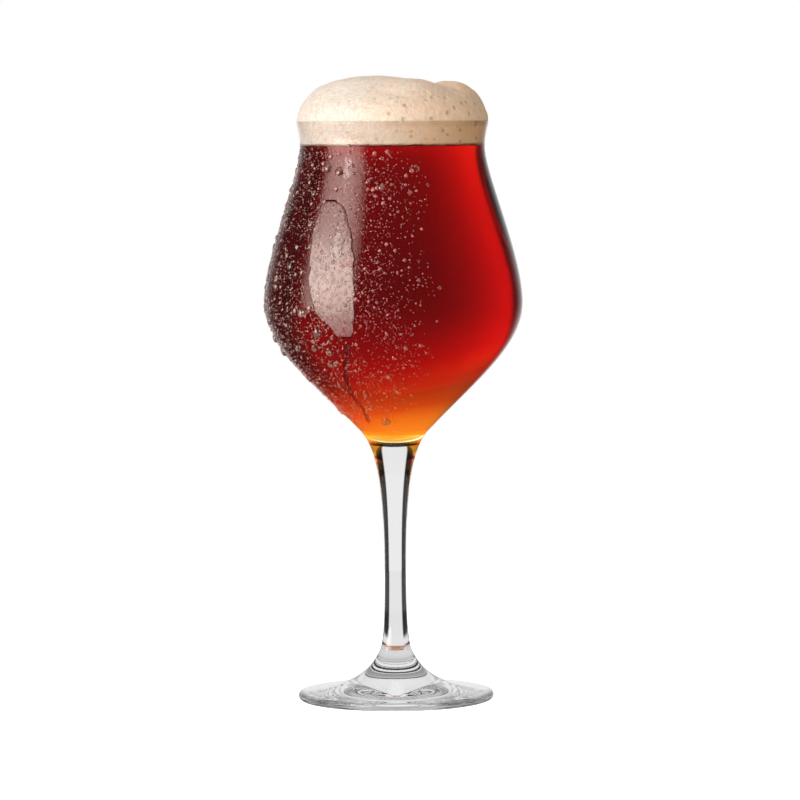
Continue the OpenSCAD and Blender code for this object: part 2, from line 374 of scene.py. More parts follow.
class Sheet:
    """The node sheet of a material, a lamp or the world."""

    def __init__(self, tree):
        self.tree = tree
        tree.nodes.clear()

    def add(self, kind, settings=None, inputs=None, output=0):
        """Adds a node with its settings and its sockets' values or links, and gives one output."""
        node = self.tree.nodes.new(kind)
        for name, value in (settings or {}).items():
            if name == "stops":
                for _ in value[2:]:
                    node.color_ramp.elements.new(0.5)
                for element, (place, colour) in zip(node.color_ramp.elements, value):
                    element.position = place
                    element.color = colour
            else:
                setattr(node, name, value)
        for key, value in (inputs or {}).items():
            if isinstance(value, Socket):
                self.tree.links.new(value.socket, node.inputs[key])
            else:
                node.inputs[key].default_value = value
        return Socket(self, node.outputs[output])

    def finish(self, kind="ShaderNodeOutputMaterial", **shaders):
        """Adds the sheet's output node and links the shaders to its sockets of those names."""
        output = self.tree.nodes.new(kind)
        for name, shader in shaders.items():
            self.tree.links.new(shader.socket, output.inputs[name])

    def maths(self, operation, *values):
        return self.add("ShaderNodeMath", {"operation": operation}, dict(enumerate(values)))

    def split(self, vector):
        """The three parts of a vector."""
        return [self.add("ShaderNodeSeparateXYZ", inputs={0: vector}, output=i) for i in range(3)]

    def place(self):
        """Object coordinates as a vector and its three parts."""
        point = self.add("ShaderNodeTexCoord", output="Object")
        return point, self.split(point)

    def reach(self, parts):
        """Distance from the axis of the glass."""
        return self.maths("SQRT", parts[0] * parts[0] + parts[1] * parts[1])

    def step(self, value, low, high):
        """Soft step from 0 at low to 1 at high."""
        return self.add(
            "ShaderNodeMapRange",
            {"interpolation_type": "SMOOTHSTEP"},
            {"Value": value, "From Min": low, "From Max": high},
        )

    def swing(self, angle, low, high):
        """Soft step from 0 to 1 between two angles in degrees."""
        return self.step(angle, math.radians(low), math.radians(high))

    def blend(self, share, first, second):
        """Colour between two colours."""
        return self.add(
            "ShaderNodeMix", {"data_type": "RGBA"}, {0: share, 6: first, 7: second}, output=2
        )

    def grain(self, point, scale, detail=2.0, rough=0.5):
        return self.add(
            "ShaderNodeTexNoise",
            inputs={"Vector": point, "Scale": scale, "Detail": detail, "Roughness": rough},
        )

    def cells(self, point, scale, output="Distance"):
        return self.add(
            "ShaderNodeTexVoronoi", inputs={"Vector": point, "Scale": scale}, output=output
        )

    def bump(self, height, strength, distance, normal=None):
        inputs = {"Height": height, "Strength": strength, "Distance": distance}
        if normal is not None:
            inputs["Normal"] = normal
        return self.add("ShaderNodeBump", inputs=inputs)

    def rise(self):
        """Height on a drop: 0 at its edge and 1 at its top."""
        return self.add("ShaderNodeAttribute", {"attribute_name": "rise"}, output="Fac")

    def principled(self, sockets):
        """Principled shader with the given sockets."""
        return self.add("ShaderNodeBsdfPrincipled", inputs=sockets)

    def glowing(self, colour, strength=1.0):
        return self.add("ShaderNodeEmission", inputs={"Color": colour, "Strength": strength})

    def either(self, share, first, second):
        """Shader between two shaders."""
        return self.add("ShaderNodeMixShader", inputs={0: share, 1: first, 2: second})

    def path(self, name):
        """What the Light Path node says of the light, for the stage and the world alone."""
        return self.add("ShaderNodeLightPath", output=name)


def new_material(name):
    material = bpy.data.materials.new(name)
    material.use_nodes = True
    return material, Sheet(material.node_tree)


def turn_share(sheet, parts):
    """Share of a turn round the glass from the front, positive to the right."""
    return sheet.maths("ARCTAN2", parts[0], parts[1] * -1.0) / math.tau


def wet_side(sheet, parts):
    """Mask of the cold wet side of the bowl: 1 from the front round the left to the back."""
    wobble = (sheet.grain(sheet.place()[0], 60.0) - 0.5) * 0.08
    turn = turn_share(sheet, parts) + wobble
    near = 1.0 - sheet.step(turn, -0.02, 0.08)
    far = sheet.step(turn, -0.48, -0.40)
    low = sheet.step(parts[2], SEAM_LEVEL + 2 * MM, SEAM_LEVEL + 12 * MM)
    return near * far * low


# ---------------------------------------------------------------- turned shapes

SAME_POINT = 0.02 * MM  # Points of an outline that lie closer than this are one
STRAIGHT = 0.002 * MM  # A point this close to the line between its neighbours is left out
ON_AXIS = 0.05 * MM
SEAM_DISH = 8 * MM  # The dish of the stem's seam is less deep than this
CORNER = 24.0  # Degrees between two steps of an outline from which they meet in a corner


def vectors_of(items, what):
    """A value of three numbers for each item of a mesh, as rows."""
    values = np.empty(len(items) * 3, np.float32)
    items.foreach_get(what, values)
    return values.reshape(-1, 3).astype(float)


def triangles_of(mesh):
    """The corners of each triangle of a CAD mesh."""
    corners = np.empty(len(mesh.polygons) * 3, np.int32)
    mesh.polygons.foreach_get("vertices", corners)
    return corners.reshape(-1, 3)


def ring_points(node):
    """Outline of a turned CAD solid: its (radius, height) points in order, none on a chord."""
    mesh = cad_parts[node].data
    places = vectors_of(mesh.vertices, "co")
    flat = np.column_stack([np.hypot(places[:, 0], places[:, 1]), places[:, 2]])
    cells, points = {}, []
    ring = np.empty(len(flat), int)
    for i, point in enumerate(flat):
        cell = (round(point[0] / SAME_POINT), round(point[1] / SAME_POINT))
        found = None
        for step in ((a, b) for a in (0, -1, 1) for b in (0, -1, 1)):
            k = cells.get((cell[0] + step[0], cell[1] + step[1]))
            if k is not None and np.abs(points[k] - point).max() < SAME_POINT:
                found = k
                break
        if found is None:
            found = len(points)
            points.append(point)
            cells[cell] = found
        ring[i] = found
    beside = [set() for _ in points]
    for a, b, c in ring[triangles_of(mesh)]:
        for p, q in ((a, b), (b, c), (c, a)):
            if p != q:
                beside[p].add(q)
                beside[q].add(p)
    ends = [k for k, others in enumerate(beside) if len(others) == 1]
    if len(ends) != 2:
        raise RuntimeError(f"{node} isn't a turned solid with one outline")
    walk = [min(ends, key=lambda k: (points[k][1], points[k][0]))]
    before = None
    while len(walk) < len(points):
        following = [k for k in beside[walk[-1]] if k != before]
        if not following:
            break
        before = walk[-1]
        walk.append(following[0])
    line = [tuple(points[k]) for k in walk]
    for end, spot in ((0, 0), (-1, len(line))):
        if line[end][0] > ON_AXIS:
            line.insert(spot, (0.0, line[end][1]))
    line[0], line[-1] = (0.0, line[0][1]), (0.0, line[-1][1])
    kept = [line[0]]
    for i in range(1, len(line) - 1):
        a, b, c = (np.array(p) for p in (kept[-1], line[i], line[i + 1]))
        along = (c - a) / max(np.linalg.norm(c - a), 1e-9)
        off = abs(along[0] * (b - a)[1] - along[1] * (b - a)[0])
        if off > STRAIGHT:
            kept.append(line[i])
    return kept + [line[-1]]


def corners_of(line):
    """Places along an outline where it has a corner, and its two ends."""
    found = [0]
    for i in range(1, len(line) - 1):
        a, b, c = (Vector(p) for p in line[i - 1 : i + 2])
        if math.degrees((b - a).angle(c - b, 0.0)) > CORNER:
            found.append(i)
    return found + [len(line) - 1]


def curve_through(run, steps):
    """Smooth curve through the points of a run, without its last point."""
    curve = []
    for i in range(len(run) - 1):
        b, c = run[i], run[i + 1]
        a = run[i - 1] if i > 0 else 2 * b - c
        d = run[i + 2] if i + 2 < len(run) else 2 * c - b
        for k in range(steps):
            t = k / steps
            curve.append(
                0.5
                * (
                    2 * b
                    + (c - a) * t
                    + (2 * a - 5 * b + 4 * c - d) * t * t
                    + (3 * b - a - 3 * c + d) * t * t * t
                )
            )
    return curve


def smooth_outline(line, steps=5):
    """The outline with smooth curves through its points between its corners."""
    marks = corners_of(line)
    result = []
    for first, last in zip(marks, marks[1:]):
        run = [Vector(p) for p in line[first : last + 1]]
        for point in curve_through(run, steps if len(run) > 2 else 1):
            result.append((max(point.x, 0.0), point.y))
    result.append(line[-1])
    result[0] = (0.0, result[0][1])
    return result


def turned_mesh(name, line, facets):
    """Closed mesh of an outline turned round Z, which starts and ends on the axis."""
    inner = line[1:-1]
    angles = [math.tau * i / facets for i in range(facets)]
    points = [(r * math.cos(a), r * math.sin(a), z) for r, z in inner for a in angles]
    low, high = len(points), len(points) + 1
    points += [(0.0, 0.0, line[0][1]), (0.0, 0.0, line[-1][1])]
    faces = []
    for near in range(0, (len(inner) - 1) * facets, facets):
        far = near + facets
        for i in range(facets):
            k = (i + 1) % facets
            faces.append((near + i, near + k, far + k, far + i))
    top = (len(inner) - 1) * facets
    for i in range(facets):
        k = (i + 1) % facets
        faces.append((low, k, i))
        faces.append((high, top + i, top + k))
    return solid_mesh(name, points, faces, 30.0)


def solid_mesh(name, points, faces, sharp=None):
    """Mesh with its faces turned outwards and shaded smoothly up to a sharp angle in degrees."""
    mesh = bpy.data.meshes.new(name)
    mesh.from_pydata(points, [], faces)
    mesh.validate()
    if inside_out(mesh):
        mesh.flip_normals()
    mesh.shade_smooth()
    if sharp is not None:
        mesh.set_sharp_from_angle(angle=math.radians(sharp))
    mesh.update()
    return mesh


def inside_out(mesh):
    """True where a closed mesh holds a negative volume."""
    mesh.calc_loop_triangles()
    places = vectors_of(mesh.vertices, "co")
    corners = np.empty(len(mesh.loop_triangles) * 3, np.int32)
    mesh.loop_triangles.foreach_get("vertices", corners)
    a, b, c = (places[corners.reshape(-1, 3)[:, i]] for i in range(3))
    return float(np.einsum("ij,ij->i", a, np.cross(b, c)).sum()) < 0


def new_object(name, data):
    thing = bpy.data.objects.new(name, data)
    bpy.context.scene.collection.objects.link(thing)
    return thing


def set_values(mesh, name, values):
    """Gives each point of a mesh a number under a name."""
    mesh.attributes.new(name, "FLOAT", "POINT").data.foreach_set("value", values)


def add_piece(name, mesh, materials, nodes=()):
    """Puts a finished mesh into the scene as a piece that rides on the glass.
    Its faces take the first material, so others are given to faces afterwards."""
    piece = new_object(name, mesh)
    mesh.materials.clear()
    for material in materials:
        mesh.materials.append(material)
    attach(piece, "root")
    if nodes:
        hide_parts(*nodes)
    return piece


def bowl_sides():
    """Heights and radii of the bowl's outside and inside, both from the bottom up."""
    line = smooth_outline(ring_points("bowl"))
    top = max(range(len(line)), key=lambda i: line[i][1])
    seam = next(i for i, point in enumerate(line) if point[1] > SEAM_LEVEL - SAME_POINT)
    outside = line[seam : top + 1]
    inside = line[top:][::-1]
    return [([z for r, z in side], [r for r, z in side]) for side in (outside, inside)]


WALL, INNER_WALL = bowl_sides()


def wall_radius(level):
    return float(np.interp(level, WALL[0], WALL[1]))


def wall_lean(level):
    """Lean of the bowl's outside from upright, in radians: positive where it widens upwards."""
    reach = 0.4 * MM
    return math.atan2(wall_radius(level + reach) - wall_radius(level - reach), 2 * reach)


def bowl_level(share):
    return SEAM_LEVEL + BOWL_HEIGHT * share


def off_bowl(turn, level, rise):
    """Point above the bowl's outside at a share of a turn from the front and a height."""
    lean = wall_lean(level)
    r = wall_radius(level) + rise * math.cos(lean)
    a = math.tau * turn
    return Vector((r * math.sin(a), -r * math.cos(a), level - rise * math.sin(lean)))


def out_of_bowl(turn, level):
    """Direction out of the bowl's outside."""
    lean, a = wall_lean(level), math.tau * turn
    return Vector((math.sin(a) * math.cos(lean), -math.cos(a) * math.cos(lean), -math.sin(lean)))


# ---------------------------------------------------------------- materials

WHITE = (1.0, 1.0, 1.0, 1.0)
INNER_MIRROR = 0.04  # Share of its usual gloss that a surface between glass and beer keeps
# Near-black seam colour: where the stem's seam is made opaque it is a painted shade inside the
# glass
SEAM_SHADE = (0.01, 0.01, 0.01, 1.0)  # A fused seam gives back no light of its own

# Painted glow of the beer from the seam up, by the share of the straight-sided base: an emission
# that stands for light from behind
BEER_GLOW = [
    (0.0, (0.98, 0.54, 0.025, 1.0)),
    (0.16, (0.98, 0.18, 0.014, 1.0)),
    (0.42, (0.92, 0.07, 0.013, 1.0)),
    (0.70, (0.38, 0.016, 0.012, 1.0)),
    (1.0, (0.006, 0.011, 0.013, 1.0)),
]
BASE_TOP = SEAM_LEVEL + 38 * MM

# The foam's own mottled tone, and its painted shade under the rim and in its pits
FOAM_MOTTLE = (0.70, 0.42, 0.27, 1.0)
FOAM_RIM_SHADE = (0.45, 0.22, 0.10, 1.0)
FOAM_PIT_SHADE = (0.40, 0.19, 0.09, 1.0)

# Painted colours of the drops: a dark shade for their edges, and the red, pale and amber light of
# their lit share
DROP_EDGE_SHADE = (0.22, 0.14, 0.14, 1.0)
PAINTED_DROP_RED = (0.98, 0.27, 0.24, 1.0)
PAINTED_DROP_PALE = (1.0, 0.56, 0.45, 1.0)
PAINTED_DROP_AMBER = (1.0, 0.42, 0.12, 1.0)

# Painted shade for the film's edge, and the pale colour of its mist
FILM_EDGE_SHADE = (0.16, 0.09, 0.08, 1.0)
FILM_MIST = (0.92, 0.72, 0.64, 1.0)


def opaque(colour):
    return (*colour, 1.0)


def grey(level):
    return opaque((level, level, level))


def glass_material(name, settings, misted=False, mirror=1.0):
    """Clear fire-polished glass with faint waves. The bowl's outside is misted on its wet side
    and has a painted tint, standing for the beer's light in the wall, where beer lies behind it.
    Its inside mirrors little against beer: mirror is near 0."""
    material, sheet = new_material(name)
    point, parts = sheet.place()
    waves = sheet.grain(point, 38.0, 1.0) * 0.6 + sheet.grain(point, 420.0, 1.0) * 0.05
    rough = sheet.grain(point, 90.0) * 0.004
    normal = sheet.bump(waves, 0.25, 0.3 * MM)
    colour = opaque(settings.tint)
    if misted:
        # Painted light: where beer lies behind the wall, the glass takes a tint that stands for the
        # beer's light in it
        filled = sheet.step(parts[2], SEAM_LEVEL + 4 * MM, SEAM_LEVEL + 12 * MM)
        filled = filled * (1.0 - sheet.step(parts[2], BEER_LEVEL - 1.2 * MM, BEER_LEVEL + 0.2 * MM))
        colour = sheet.blend(filled, colour, opaque(settings.beer_light_tint))
        wet = wet_side(sheet, parts)
        patches = sheet.step(sheet.grain(point, 260.0, 3.0), 0.40, 0.62)
        rough = rough + wet * (patches * 0.65 + 0.35) * settings.mist
        dew = 1.0 - sheet.step(sheet.cells(point, 1700.0), 0.10, 0.55)
        normal = sheet.bump(dew * wet, 0.35, 0.05 * MM, normal)
    surface = sheet.principled(
        {
            "Base Color": colour,
            "Roughness": rough,
            "IOR": settings.ior,
            "Specular Tint": grey(mirror),
            "Transmission Weight": 1.0,
            "Normal": normal,
        }
    )
    sheet.finish(Surface=surface)
    return material


def seam_material(name, painted_shade_share=0.0):
    """Fused seam between two pieces of glass, which light passes without bending.
    In its middle a share of it can be made opaque and near black to light that comes from inside
    the piece: a painted shade inside clear glass."""
    material, sheet = new_material(name)
    point, parts = sheet.place()
    rough = sheet.grain(point, 200.0) * 0.02 + 0.5
    inside = sheet.add("ShaderNodeNewGeometry", output="Backfacing")
    middle = 1.0 - sheet.step(sheet.reach(parts), 4.5 * MM, 7.0 * MM)
    surface = sheet.principled(
        {
            "Base Color": SEAM_SHADE,
            "Roughness": rough,
            "Specular IOR Level": 0.0,
            "Alpha": inside * middle * painted_shade_share if painted_shade_share else 0.0,
        }
    )
    sheet.finish(Surface=surface)
    return material


def beer_material(name, settings):
    """Clear red ale that darkens with depth, with a painted amber glow, an emission, where the bowl
    narrows to its base.
    """
    material, sheet = new_material(name)
    point, parts = sheet.place()
    rough = sheet.grain(point, 60.0) * 0.01
    # The painted glow drifts in height and reaches higher on the right
    drift = (sheet.grain(point, 30.0) - 0.5) * 8 * MM
    depth = parts[2] + drift - parts[0] * 0.22
    glow = sheet.add(
        "ShaderNodeValToRGB",
        {"stops": BEER_GLOW},
        {0: sheet.step(depth, SEAM_LEVEL - 2 * MM, BASE_TOP)},
    )
    surface = sheet.principled(
        {
            "Base Color": (1.0, 0.97, 0.95, 1.0),
            "Roughness": rough,
            "IOR": settings.ior,
            "Specular Tint": grey(INNER_MIRROR),
            "Transmission Weight": 1.0,
            "Emission Color": glow,
            "Emission Strength": settings.glow,
        }
    )
    volume = sheet.add(
        "ShaderNodeVolumeAbsorption",
        inputs={"Color": opaque(settings.colour), "Density": settings.strength},
    )
    sheet.finish(Surface=surface, Volume=volume)
    return material


def foam_material(name, settings):
    """Dense fine-bubbled foam, cream, with painted tan shade on its right side, which is partly
    beer-wet foam, and between its fine bubbles, a painted shadow in a band under the rim and
    painted shade in its open pits.
    """
    material, sheet = new_material(name)
    point, parts = sheet.place()
    per_metre = 1.0 / settings.bubble
    pit_scale = 0.30 * per_metre
    fine = sheet.cells(point, per_metre)
    coarse = sheet.cells(point, 0.42 * per_metre)
    pick = sheet.add("ShaderNodeSeparateColor", inputs={0: sheet.cells(point, pit_scale, "Color")})
    # Painted shade in the pits: darker, mostly low down near the rim and on the right
    low = 1.0 - sheet.step(parts[2], RIM_LEVEL + 5 * MM, RIM_LEVEL + 12 * MM) * 0.85
    right = sheet.step(parts[0], -26 * MM, 6 * MM) * 0.8 + 0.2
    holes = 1.0 - sheet.step(sheet.cells(point, pit_scale), 0.12, 0.42)
    holes = holes * pick.more_than(0.54) * low * right
    drift = sheet.grain(point, 70.0, 3.0)
    mottle = sheet.grain(point, 520.0, 3.0, 0.6)
    # Painted shade on the right side, away from the key light, which also stands for beer-wet foam;
    # strongest on the collar under the rim
    wet = sheet.step(parts[0] + (drift - 0.5) * 22 * MM, -26 * MM, 38 * MM)
    collar = 1.0 - sheet.step(parts[2], RIM_LEVEL - 1.5 * MM, RIM_LEVEL + 0.8 * MM)
    # Painted shadow: a darker band just under the rim, on the shaded right
    rim_shade = sheet.step(parts[2], RIM_LEVEL - 2.4 * MM, RIM_LEVEL - 0.6 * MM) * collar
    shade = opaque(settings.cream)
    # Painted shade in these layers: the tan right side, tan between fine bubbles, the band under
    # the rim and the pits; the mottle is the foam's own tone
    for share, colour in (
        (wet * (0.85 + collar * 0.35), opaque(settings.tan)),
        (sheet.step(fine, 0.25, 0.70) * 0.34, opaque(settings.tan)),
        (sheet.step(mottle, 0.45, 0.72) * 0.34, FOAM_MOTTLE),
        (rim_shade * wet * 0.45, FOAM_RIM_SHADE),
        (holes * 0.42, FOAM_PIT_SHADE),
    ):
        shade = sheet.blend(share, shade, colour)
    height = (1.0 - fine) * 0.5 + (1.0 - coarse) * 0.55 - holes * 1.5 + drift * 0.6 + mottle * 0.5
    surface = sheet.principled(
        {
            "Base Color": shade,
            "Roughness": 0.42 + sheet.grain(point, 900.0) * 0.25,
            "IOR": 1.35,
            "Subsurface Weight": 0.35,
            "Subsurface Radius": (1.0, 0.62, 0.36),
            "Subsurface Scale": 2.2 * MM,
            "Normal": sheet.bump(height, 0.75, 0.40 * MM),
        }
    )
    sheet.finish(Surface=surface)
    return material


def water_material(name, settings, lit=0.0, coat=1.0):
    """Clear condensed water with a painted shade on its edges. A share of it, on a drop's top, is
    painted light: a matt red, pale or amber colour lit by the lamps, in place of glints from tiny
    facets.
    """
    material, sheet = new_material(name)
    point, parts = sheet.place()
    rise = sheet.rise()
    rough = sheet.grain(point, 300.0) * 0.02
    normal = sheet.bump(sheet.grain(point, 1400.0, 1.0), 0.12, 0.05 * MM)
    # Painted shade on the edge of each drop
    edge = 1.0 - sheet.step(rise, 0.05, 0.55)
    water = sheet.principled(
        {
            "Base Color": sheet.blend(edge * settings.rim, WHITE, DROP_EDGE_SHADE),
            "Roughness": rough,
            "IOR": settings.ior,
            "Transmission Weight": 1.0,
            "Coat Weight": settings.sparkle * coat,
            "Coat IOR": 2.4,
            "Coat Roughness": 0.08,
            "Normal": normal,
        }
    )
    if not lit:
        sheet.finish(Surface=water)
        return material
    # Painted light: red, pale on the left where light falls, and amber low down by the painted glow
    base = 1.0 - sheet.step(parts[2], SEAM_LEVEL + 2 * MM, BASE_TOP)
    left_out = sheet.step(parts[0] * -1.0, 12 * MM, 34 * MM)
    painted_light_colour = sheet.blend(base, sheet.blend(left_out, PAINTED_DROP_RED, PAINTED_DROP_PALE), PAINTED_DROP_AMBER)
    facets = sheet.principled(
        {
            "Base Color": painted_light_colour,
            "Roughness": 0.30 + sheet.grain(point, 500.0) * 0.1,
            "IOR": settings.ior,
            "Normal": normal,
        }
    )
    chance = sheet.step(sheet.grain(point, 900.0), 0.35, 0.65)
    share = sheet.step(rise, 0.25, 0.95) * (0.35 + chance * 0.65) * lit
    sheet.finish(Surface=sheet.either(share, water, facets))
    return material


def film_material(name, settings):
    """Misty wet film: a painted dark shade on its edge, and inside it pale mist with small drops in
    painted dark rings.
    """
    material, sheet = new_material(name)
    point, parts = sheet.place()
    rise = sheet.rise()
    small = sheet.cells(point, 760.0)
    large = sheet.cells(point, 360.0)
    drift = sheet.grain(point, 150.0, 4.0)
    # Painted shade: rings with less mist, which look dark over the beer, stand for the edges of
    # small drops
    rings = sheet.step(small, 0.22, 0.34) * (1.0 - sheet.step(small, 0.40, 0.52))
    rings = rings + sheet.step(large, 0.16, 0.24) * (1.0 - sheet.step(large, 0.28, 0.36)) * 0.8
    fade = 1.0 - sheet.step(parts[2], SEAM_LEVEL + 56 * MM, SEAM_LEVEL + 76 * MM) * 0.75
    fade = fade * (sheet.step(parts[2], SEAM_LEVEL + 30 * MM, SEAM_LEVEL + 52 * MM) * 0.78 + 0.22)
    haze = (1.0 - rings * 0.55) * (0.70 + drift * 0.5) * fade * sheet.step(rise, 0.45, 0.98)
    bulge = (1.0 - sheet.step(small, 0.0, 0.5)) + (1.0 - sheet.step(large, 0.0, 0.34)) * 1.6
    normal = sheet.bump(bulge, 0.6, 0.12 * MM)
    # Painted shade on the film's edge
    edge = 1.0 - sheet.step(rise, 0.35, 0.85)
    water = sheet.principled(
        {
            "Base Color": sheet.blend(edge * 0.9, WHITE, FILM_EDGE_SHADE),
            "Roughness": drift * 0.10,
            "IOR": settings.ior,
            "Transmission Weight": 1.0,
            "Normal": normal,
        }
    )
    mist = sheet.principled(
        {
            "Base Color": FILM_MIST,
            "Roughness": 0.35 + drift * 0.2,
            "IOR": settings.ior,
            "Normal": normal,
        }
    )
    sheet.finish(Surface=sheet.either(haze * 0.46, water, mist))
    return material


# ---------------------------------------------------------------- drops by Geometry Nodes


def drop_form(name, around, rings, height, sag):
    """Drop of radius 1 on a flat base just under the glass, with +Y up the wall.
    Its "rise" goes from 0 at the edge to 1 at the top. A form of one ring has no upright edge."""
    under = -0.10
    points, faces, rise = [(0.0, 0.0, under)], [], [0.0]
    levels = [(1.0, under)]
    for j in range(0 if rings > 1 else 1, rings + 1):
        t = j / (rings + 1)
        levels.append((math.cos(t * math.pi / 2) ** 0.8, height * math.sin(t * math.pi / 2)))
    for r, z in levels:
        for i in range(around):
            a = math.tau * i / around
            x, y = r * math.cos(a), r * math.sin(a)
            upper = max(y, 0.0)
            narrow = 1.0 - sag * upper**1.5 * 0.45
            points.append((x * narrow, y * (1.0 + sag * 0.35 * upper), z * (1.0 - sag * 0.5 * y)))
            rise.append(max(z, 0.0) / height)
    points.append((0.0, -0.15 * sag, height))
    rise.append(1.0)
    last = len(points) - 1
    for i in range(around):
        k = (i + 1) % around
        faces.append((0, 1 + k, 1 + i))
        for j in range(len(levels) - 1):
            low, high = 1 + j * around, 1 + (j + 1) * around
            faces.append((low + i, low + k, high + k, high + i))
        top = 1 + (len(levels) - 1) * around
        faces.append((top + i, top + k, last))
    mesh = solid_mesh(name, points, faces, 50.0)
    set_values(mesh, "rise", rise)
    return new_object(name, mesh)


class Steps:
    """A Geometry Nodes tree under construction, with its named inputs."""

    def __init__(self, name, inputs):
        self.tree = bpy.data.node_groups.new(name, "GeometryNodeTree")
        face = self.tree.interface
        face.new_socket("Geometry", in_out="INPUT", socket_type="NodeSocketGeometry")
        face.new_socket("Geometry", in_out="OUTPUT", socket_type="NodeSocketGeometry")
        for label, kind in inputs.items():
            face.new_socket(label, in_out="INPUT", socket_type=kind)
        self.given = self.tree.nodes.new("NodeGroupInput").outputs
        self.taken = self.tree.nodes.new("NodeGroupOutput").inputs

    def add(self, kind, settings=None, inputs=None, output=0):
        node = self.tree.nodes.new(kind)
        for name, value in (settings or {}).items():
            setattr(node, name, value)
        for key, value in (inputs or {}).items():
            if isinstance(value, bpy.types.NodeSocket):
                self.tree.links.new(value, node.inputs[key])
            else:
                node.inputs[key].default_value = value
        return node.outputs[output]

    def maths(self, operation, *values):
        return self.add("ShaderNodeMath", {"operation": operation}, dict(enumerate(values)))

    def attribute(self, name, kind):
        return self.add("GeometryNodeInputNamedAttribute", {"data_type": kind}, {"Name": name})

    def finish(self, instances):
        real = self.add("GeometryNodeRealizeInstances", inputs={0: instances})
        done = self.add("GeometryNodeSetMaterial", inputs={0: real, 2: self.given["Material"]})
        self.tree.links.new(done, self.taken[0])
        return self.tree


SAME_CORNER = 0.002 * MM  # Corners of CAD triangles that lie closer than this are one

DROP_INPUTS = {"Form": "NodeSocketObject", "Material": "NodeSocketMaterial"}


def standing_on_wall(steps, out):
    """Rotation that stands a form on the wall, with its +Y up the wall."""
    stood = steps.add("FunctionNodeAlignRotationToVector", {"axis": "Z"}, {"Vector": out})
    return steps.add(
        "FunctionNodeAlignRotationToVector",
        {"axis": "Y", "pivot_axis": "Z"},
        {"Rotation": stood, "Vector": (0.0, 0.0, 1.0)},
    )


def placed_drops_tree():
    """Stands one form on each point, by the point's own direction and size."""
    steps = Steps("Placed drops", {**DROP_INPUTS, "Growth": "NodeSocketFloat"})
    out = steps.attribute("out", "FLOAT_VECTOR")
    size = steps.maths("MULTIPLY", steps.attribute("size", "FLOAT"), steps.given["Growth"])
    form = steps.add("GeometryNodeObjectInfo", inputs={0: steps.given["Form"]}, output="Geometry")
    points = steps.add("GeometryNodeMeshToPoints", inputs={0: steps.given["Geometry"]})
    standing = steps.add(
        "GeometryNodeInstanceOnPoints",
        inputs={
            "Points": points,
            "Instance": form,
            "Rotation": standing_on_wall(steps, out),
            "Scale": steps.add("ShaderNodeCombineXYZ", inputs={0: size, 1: size, 2: size}),
        },
    )
    return steps.finish(standing)


def strewn_beads_tree():
    """Strews one form over a skin, thickly where its wetness is high, in random sizes."""
    steps = Steps(
        "Strewn beads",
        {
            **DROP_INPUTS,
            "Per Square Metre": "NodeSocketFloat",
            "Spacing": "NodeSocketFloat",
            "Smallest": "NodeSocketFloat",
            "Largest": "NodeSocketFloat",
            "Seed": "NodeSocketInt",
        },
    )
    strew = steps.tree.nodes.new("GeometryNodeDistributePointsOnFaces")
    strew.distribute_method = "POISSON"
    for key, value in {
        "Mesh": steps.given["Geometry"],
        "Distance Min": steps.given["Spacing"],
        "Density Max": steps.given["Per Square Metre"],
        "Density Factor": steps.attribute("wetness", "FLOAT"),
        "Seed": steps.given["Seed"],
    }.items():
        steps.tree.links.new(value, strew.inputs[key])
    chance = steps.add(
        "FunctionNodeRandomValue", {"data_type": "FLOAT"}, {8: steps.given["Seed"]}, output=1
    )
    share = steps.maths("POWER", chance, 2.0)
    spread = steps.maths("SUBTRACT", steps.given["Largest"], steps.given["Smallest"])
    size = steps.maths("MULTIPLY_ADD", share, spread, steps.given["Smallest"])
    form = steps.add("GeometryNodeObjectInfo", inputs={0: steps.given["Form"]}, output="Geometry")
    standing = steps.add(
        "GeometryNodeInstanceOnPoints",
        inputs={
            "Points": strew.outputs["Points"],
            "Instance": form,
            "Rotation": standing_on_wall(steps, strew.outputs["Normal"]),
            "Scale": steps.add("ShaderNodeCombineXYZ", inputs={0: size, 1: size, 2: size}),
        },
    )
    return steps.finish(standing)


def grown_mesh(name, host_mesh, tree, values):
    """Plain mesh of what a Geometry Nodes tree grows on a host mesh."""
    host = new_object(name, host_mesh)
    modifier = host.modifiers.new(name, "NODES")
    modifier.node_group = tree
    for item in tree.interface.items_tree:
        if item.in_out == "INPUT" and item.name in values:
            modifier[item.identifier] = values[item.name]
    host.update_tag()
    bpy.context.view_layer.update()
    depsgraph = bpy.context.evaluated_depsgraph_get()
    mesh = bpy.data.meshes.new_from_object(host.evaluated_get(depsgraph))
    host.modifiers.remove(modifier)
    bpy.data.objects.remove(host)
    if not mesh.polygons:
        raise RuntimeError(f"{name} grew nothing")
    mesh.name = name
    return mesh


def solids_of(node):
    """Middle and radius of each separate drop of a CAD node."""
    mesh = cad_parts[node].data
    places = vectors_of(mesh.vertices, "co")
    cells = np.round(places / SAME_CORNER).astype(np.int64)
    merged, spot = np.unique(cells, axis=0, return_inverse=True)
    spot = spot.reshape(-1)
    parent = list(range(len(merged)))

    def root(k):
        while parent[k] != k:
            parent[k] = parent[parent[k]]
            k = parent[k]
        return k

    for a, b, c in spot[triangles_of(mesh)]:
        parent[root(a)] = root(b)
        parent[root(b)] = root(c)
    groups = {}
    for i, k in enumerate(spot):
        groups.setdefault(root(k), []).append(i)
    found = []
    for members in groups.values():
        cloud = places[members]
        middle = (cloud.min(0) + cloud.max(0)) / 2
        reach = np.linalg.norm(cloud - middle, axis=1).max()
        found.append((middle, float(reach)))
    return sorted(found, key=lambda drop: tuple(np.round(drop[0], 6)))


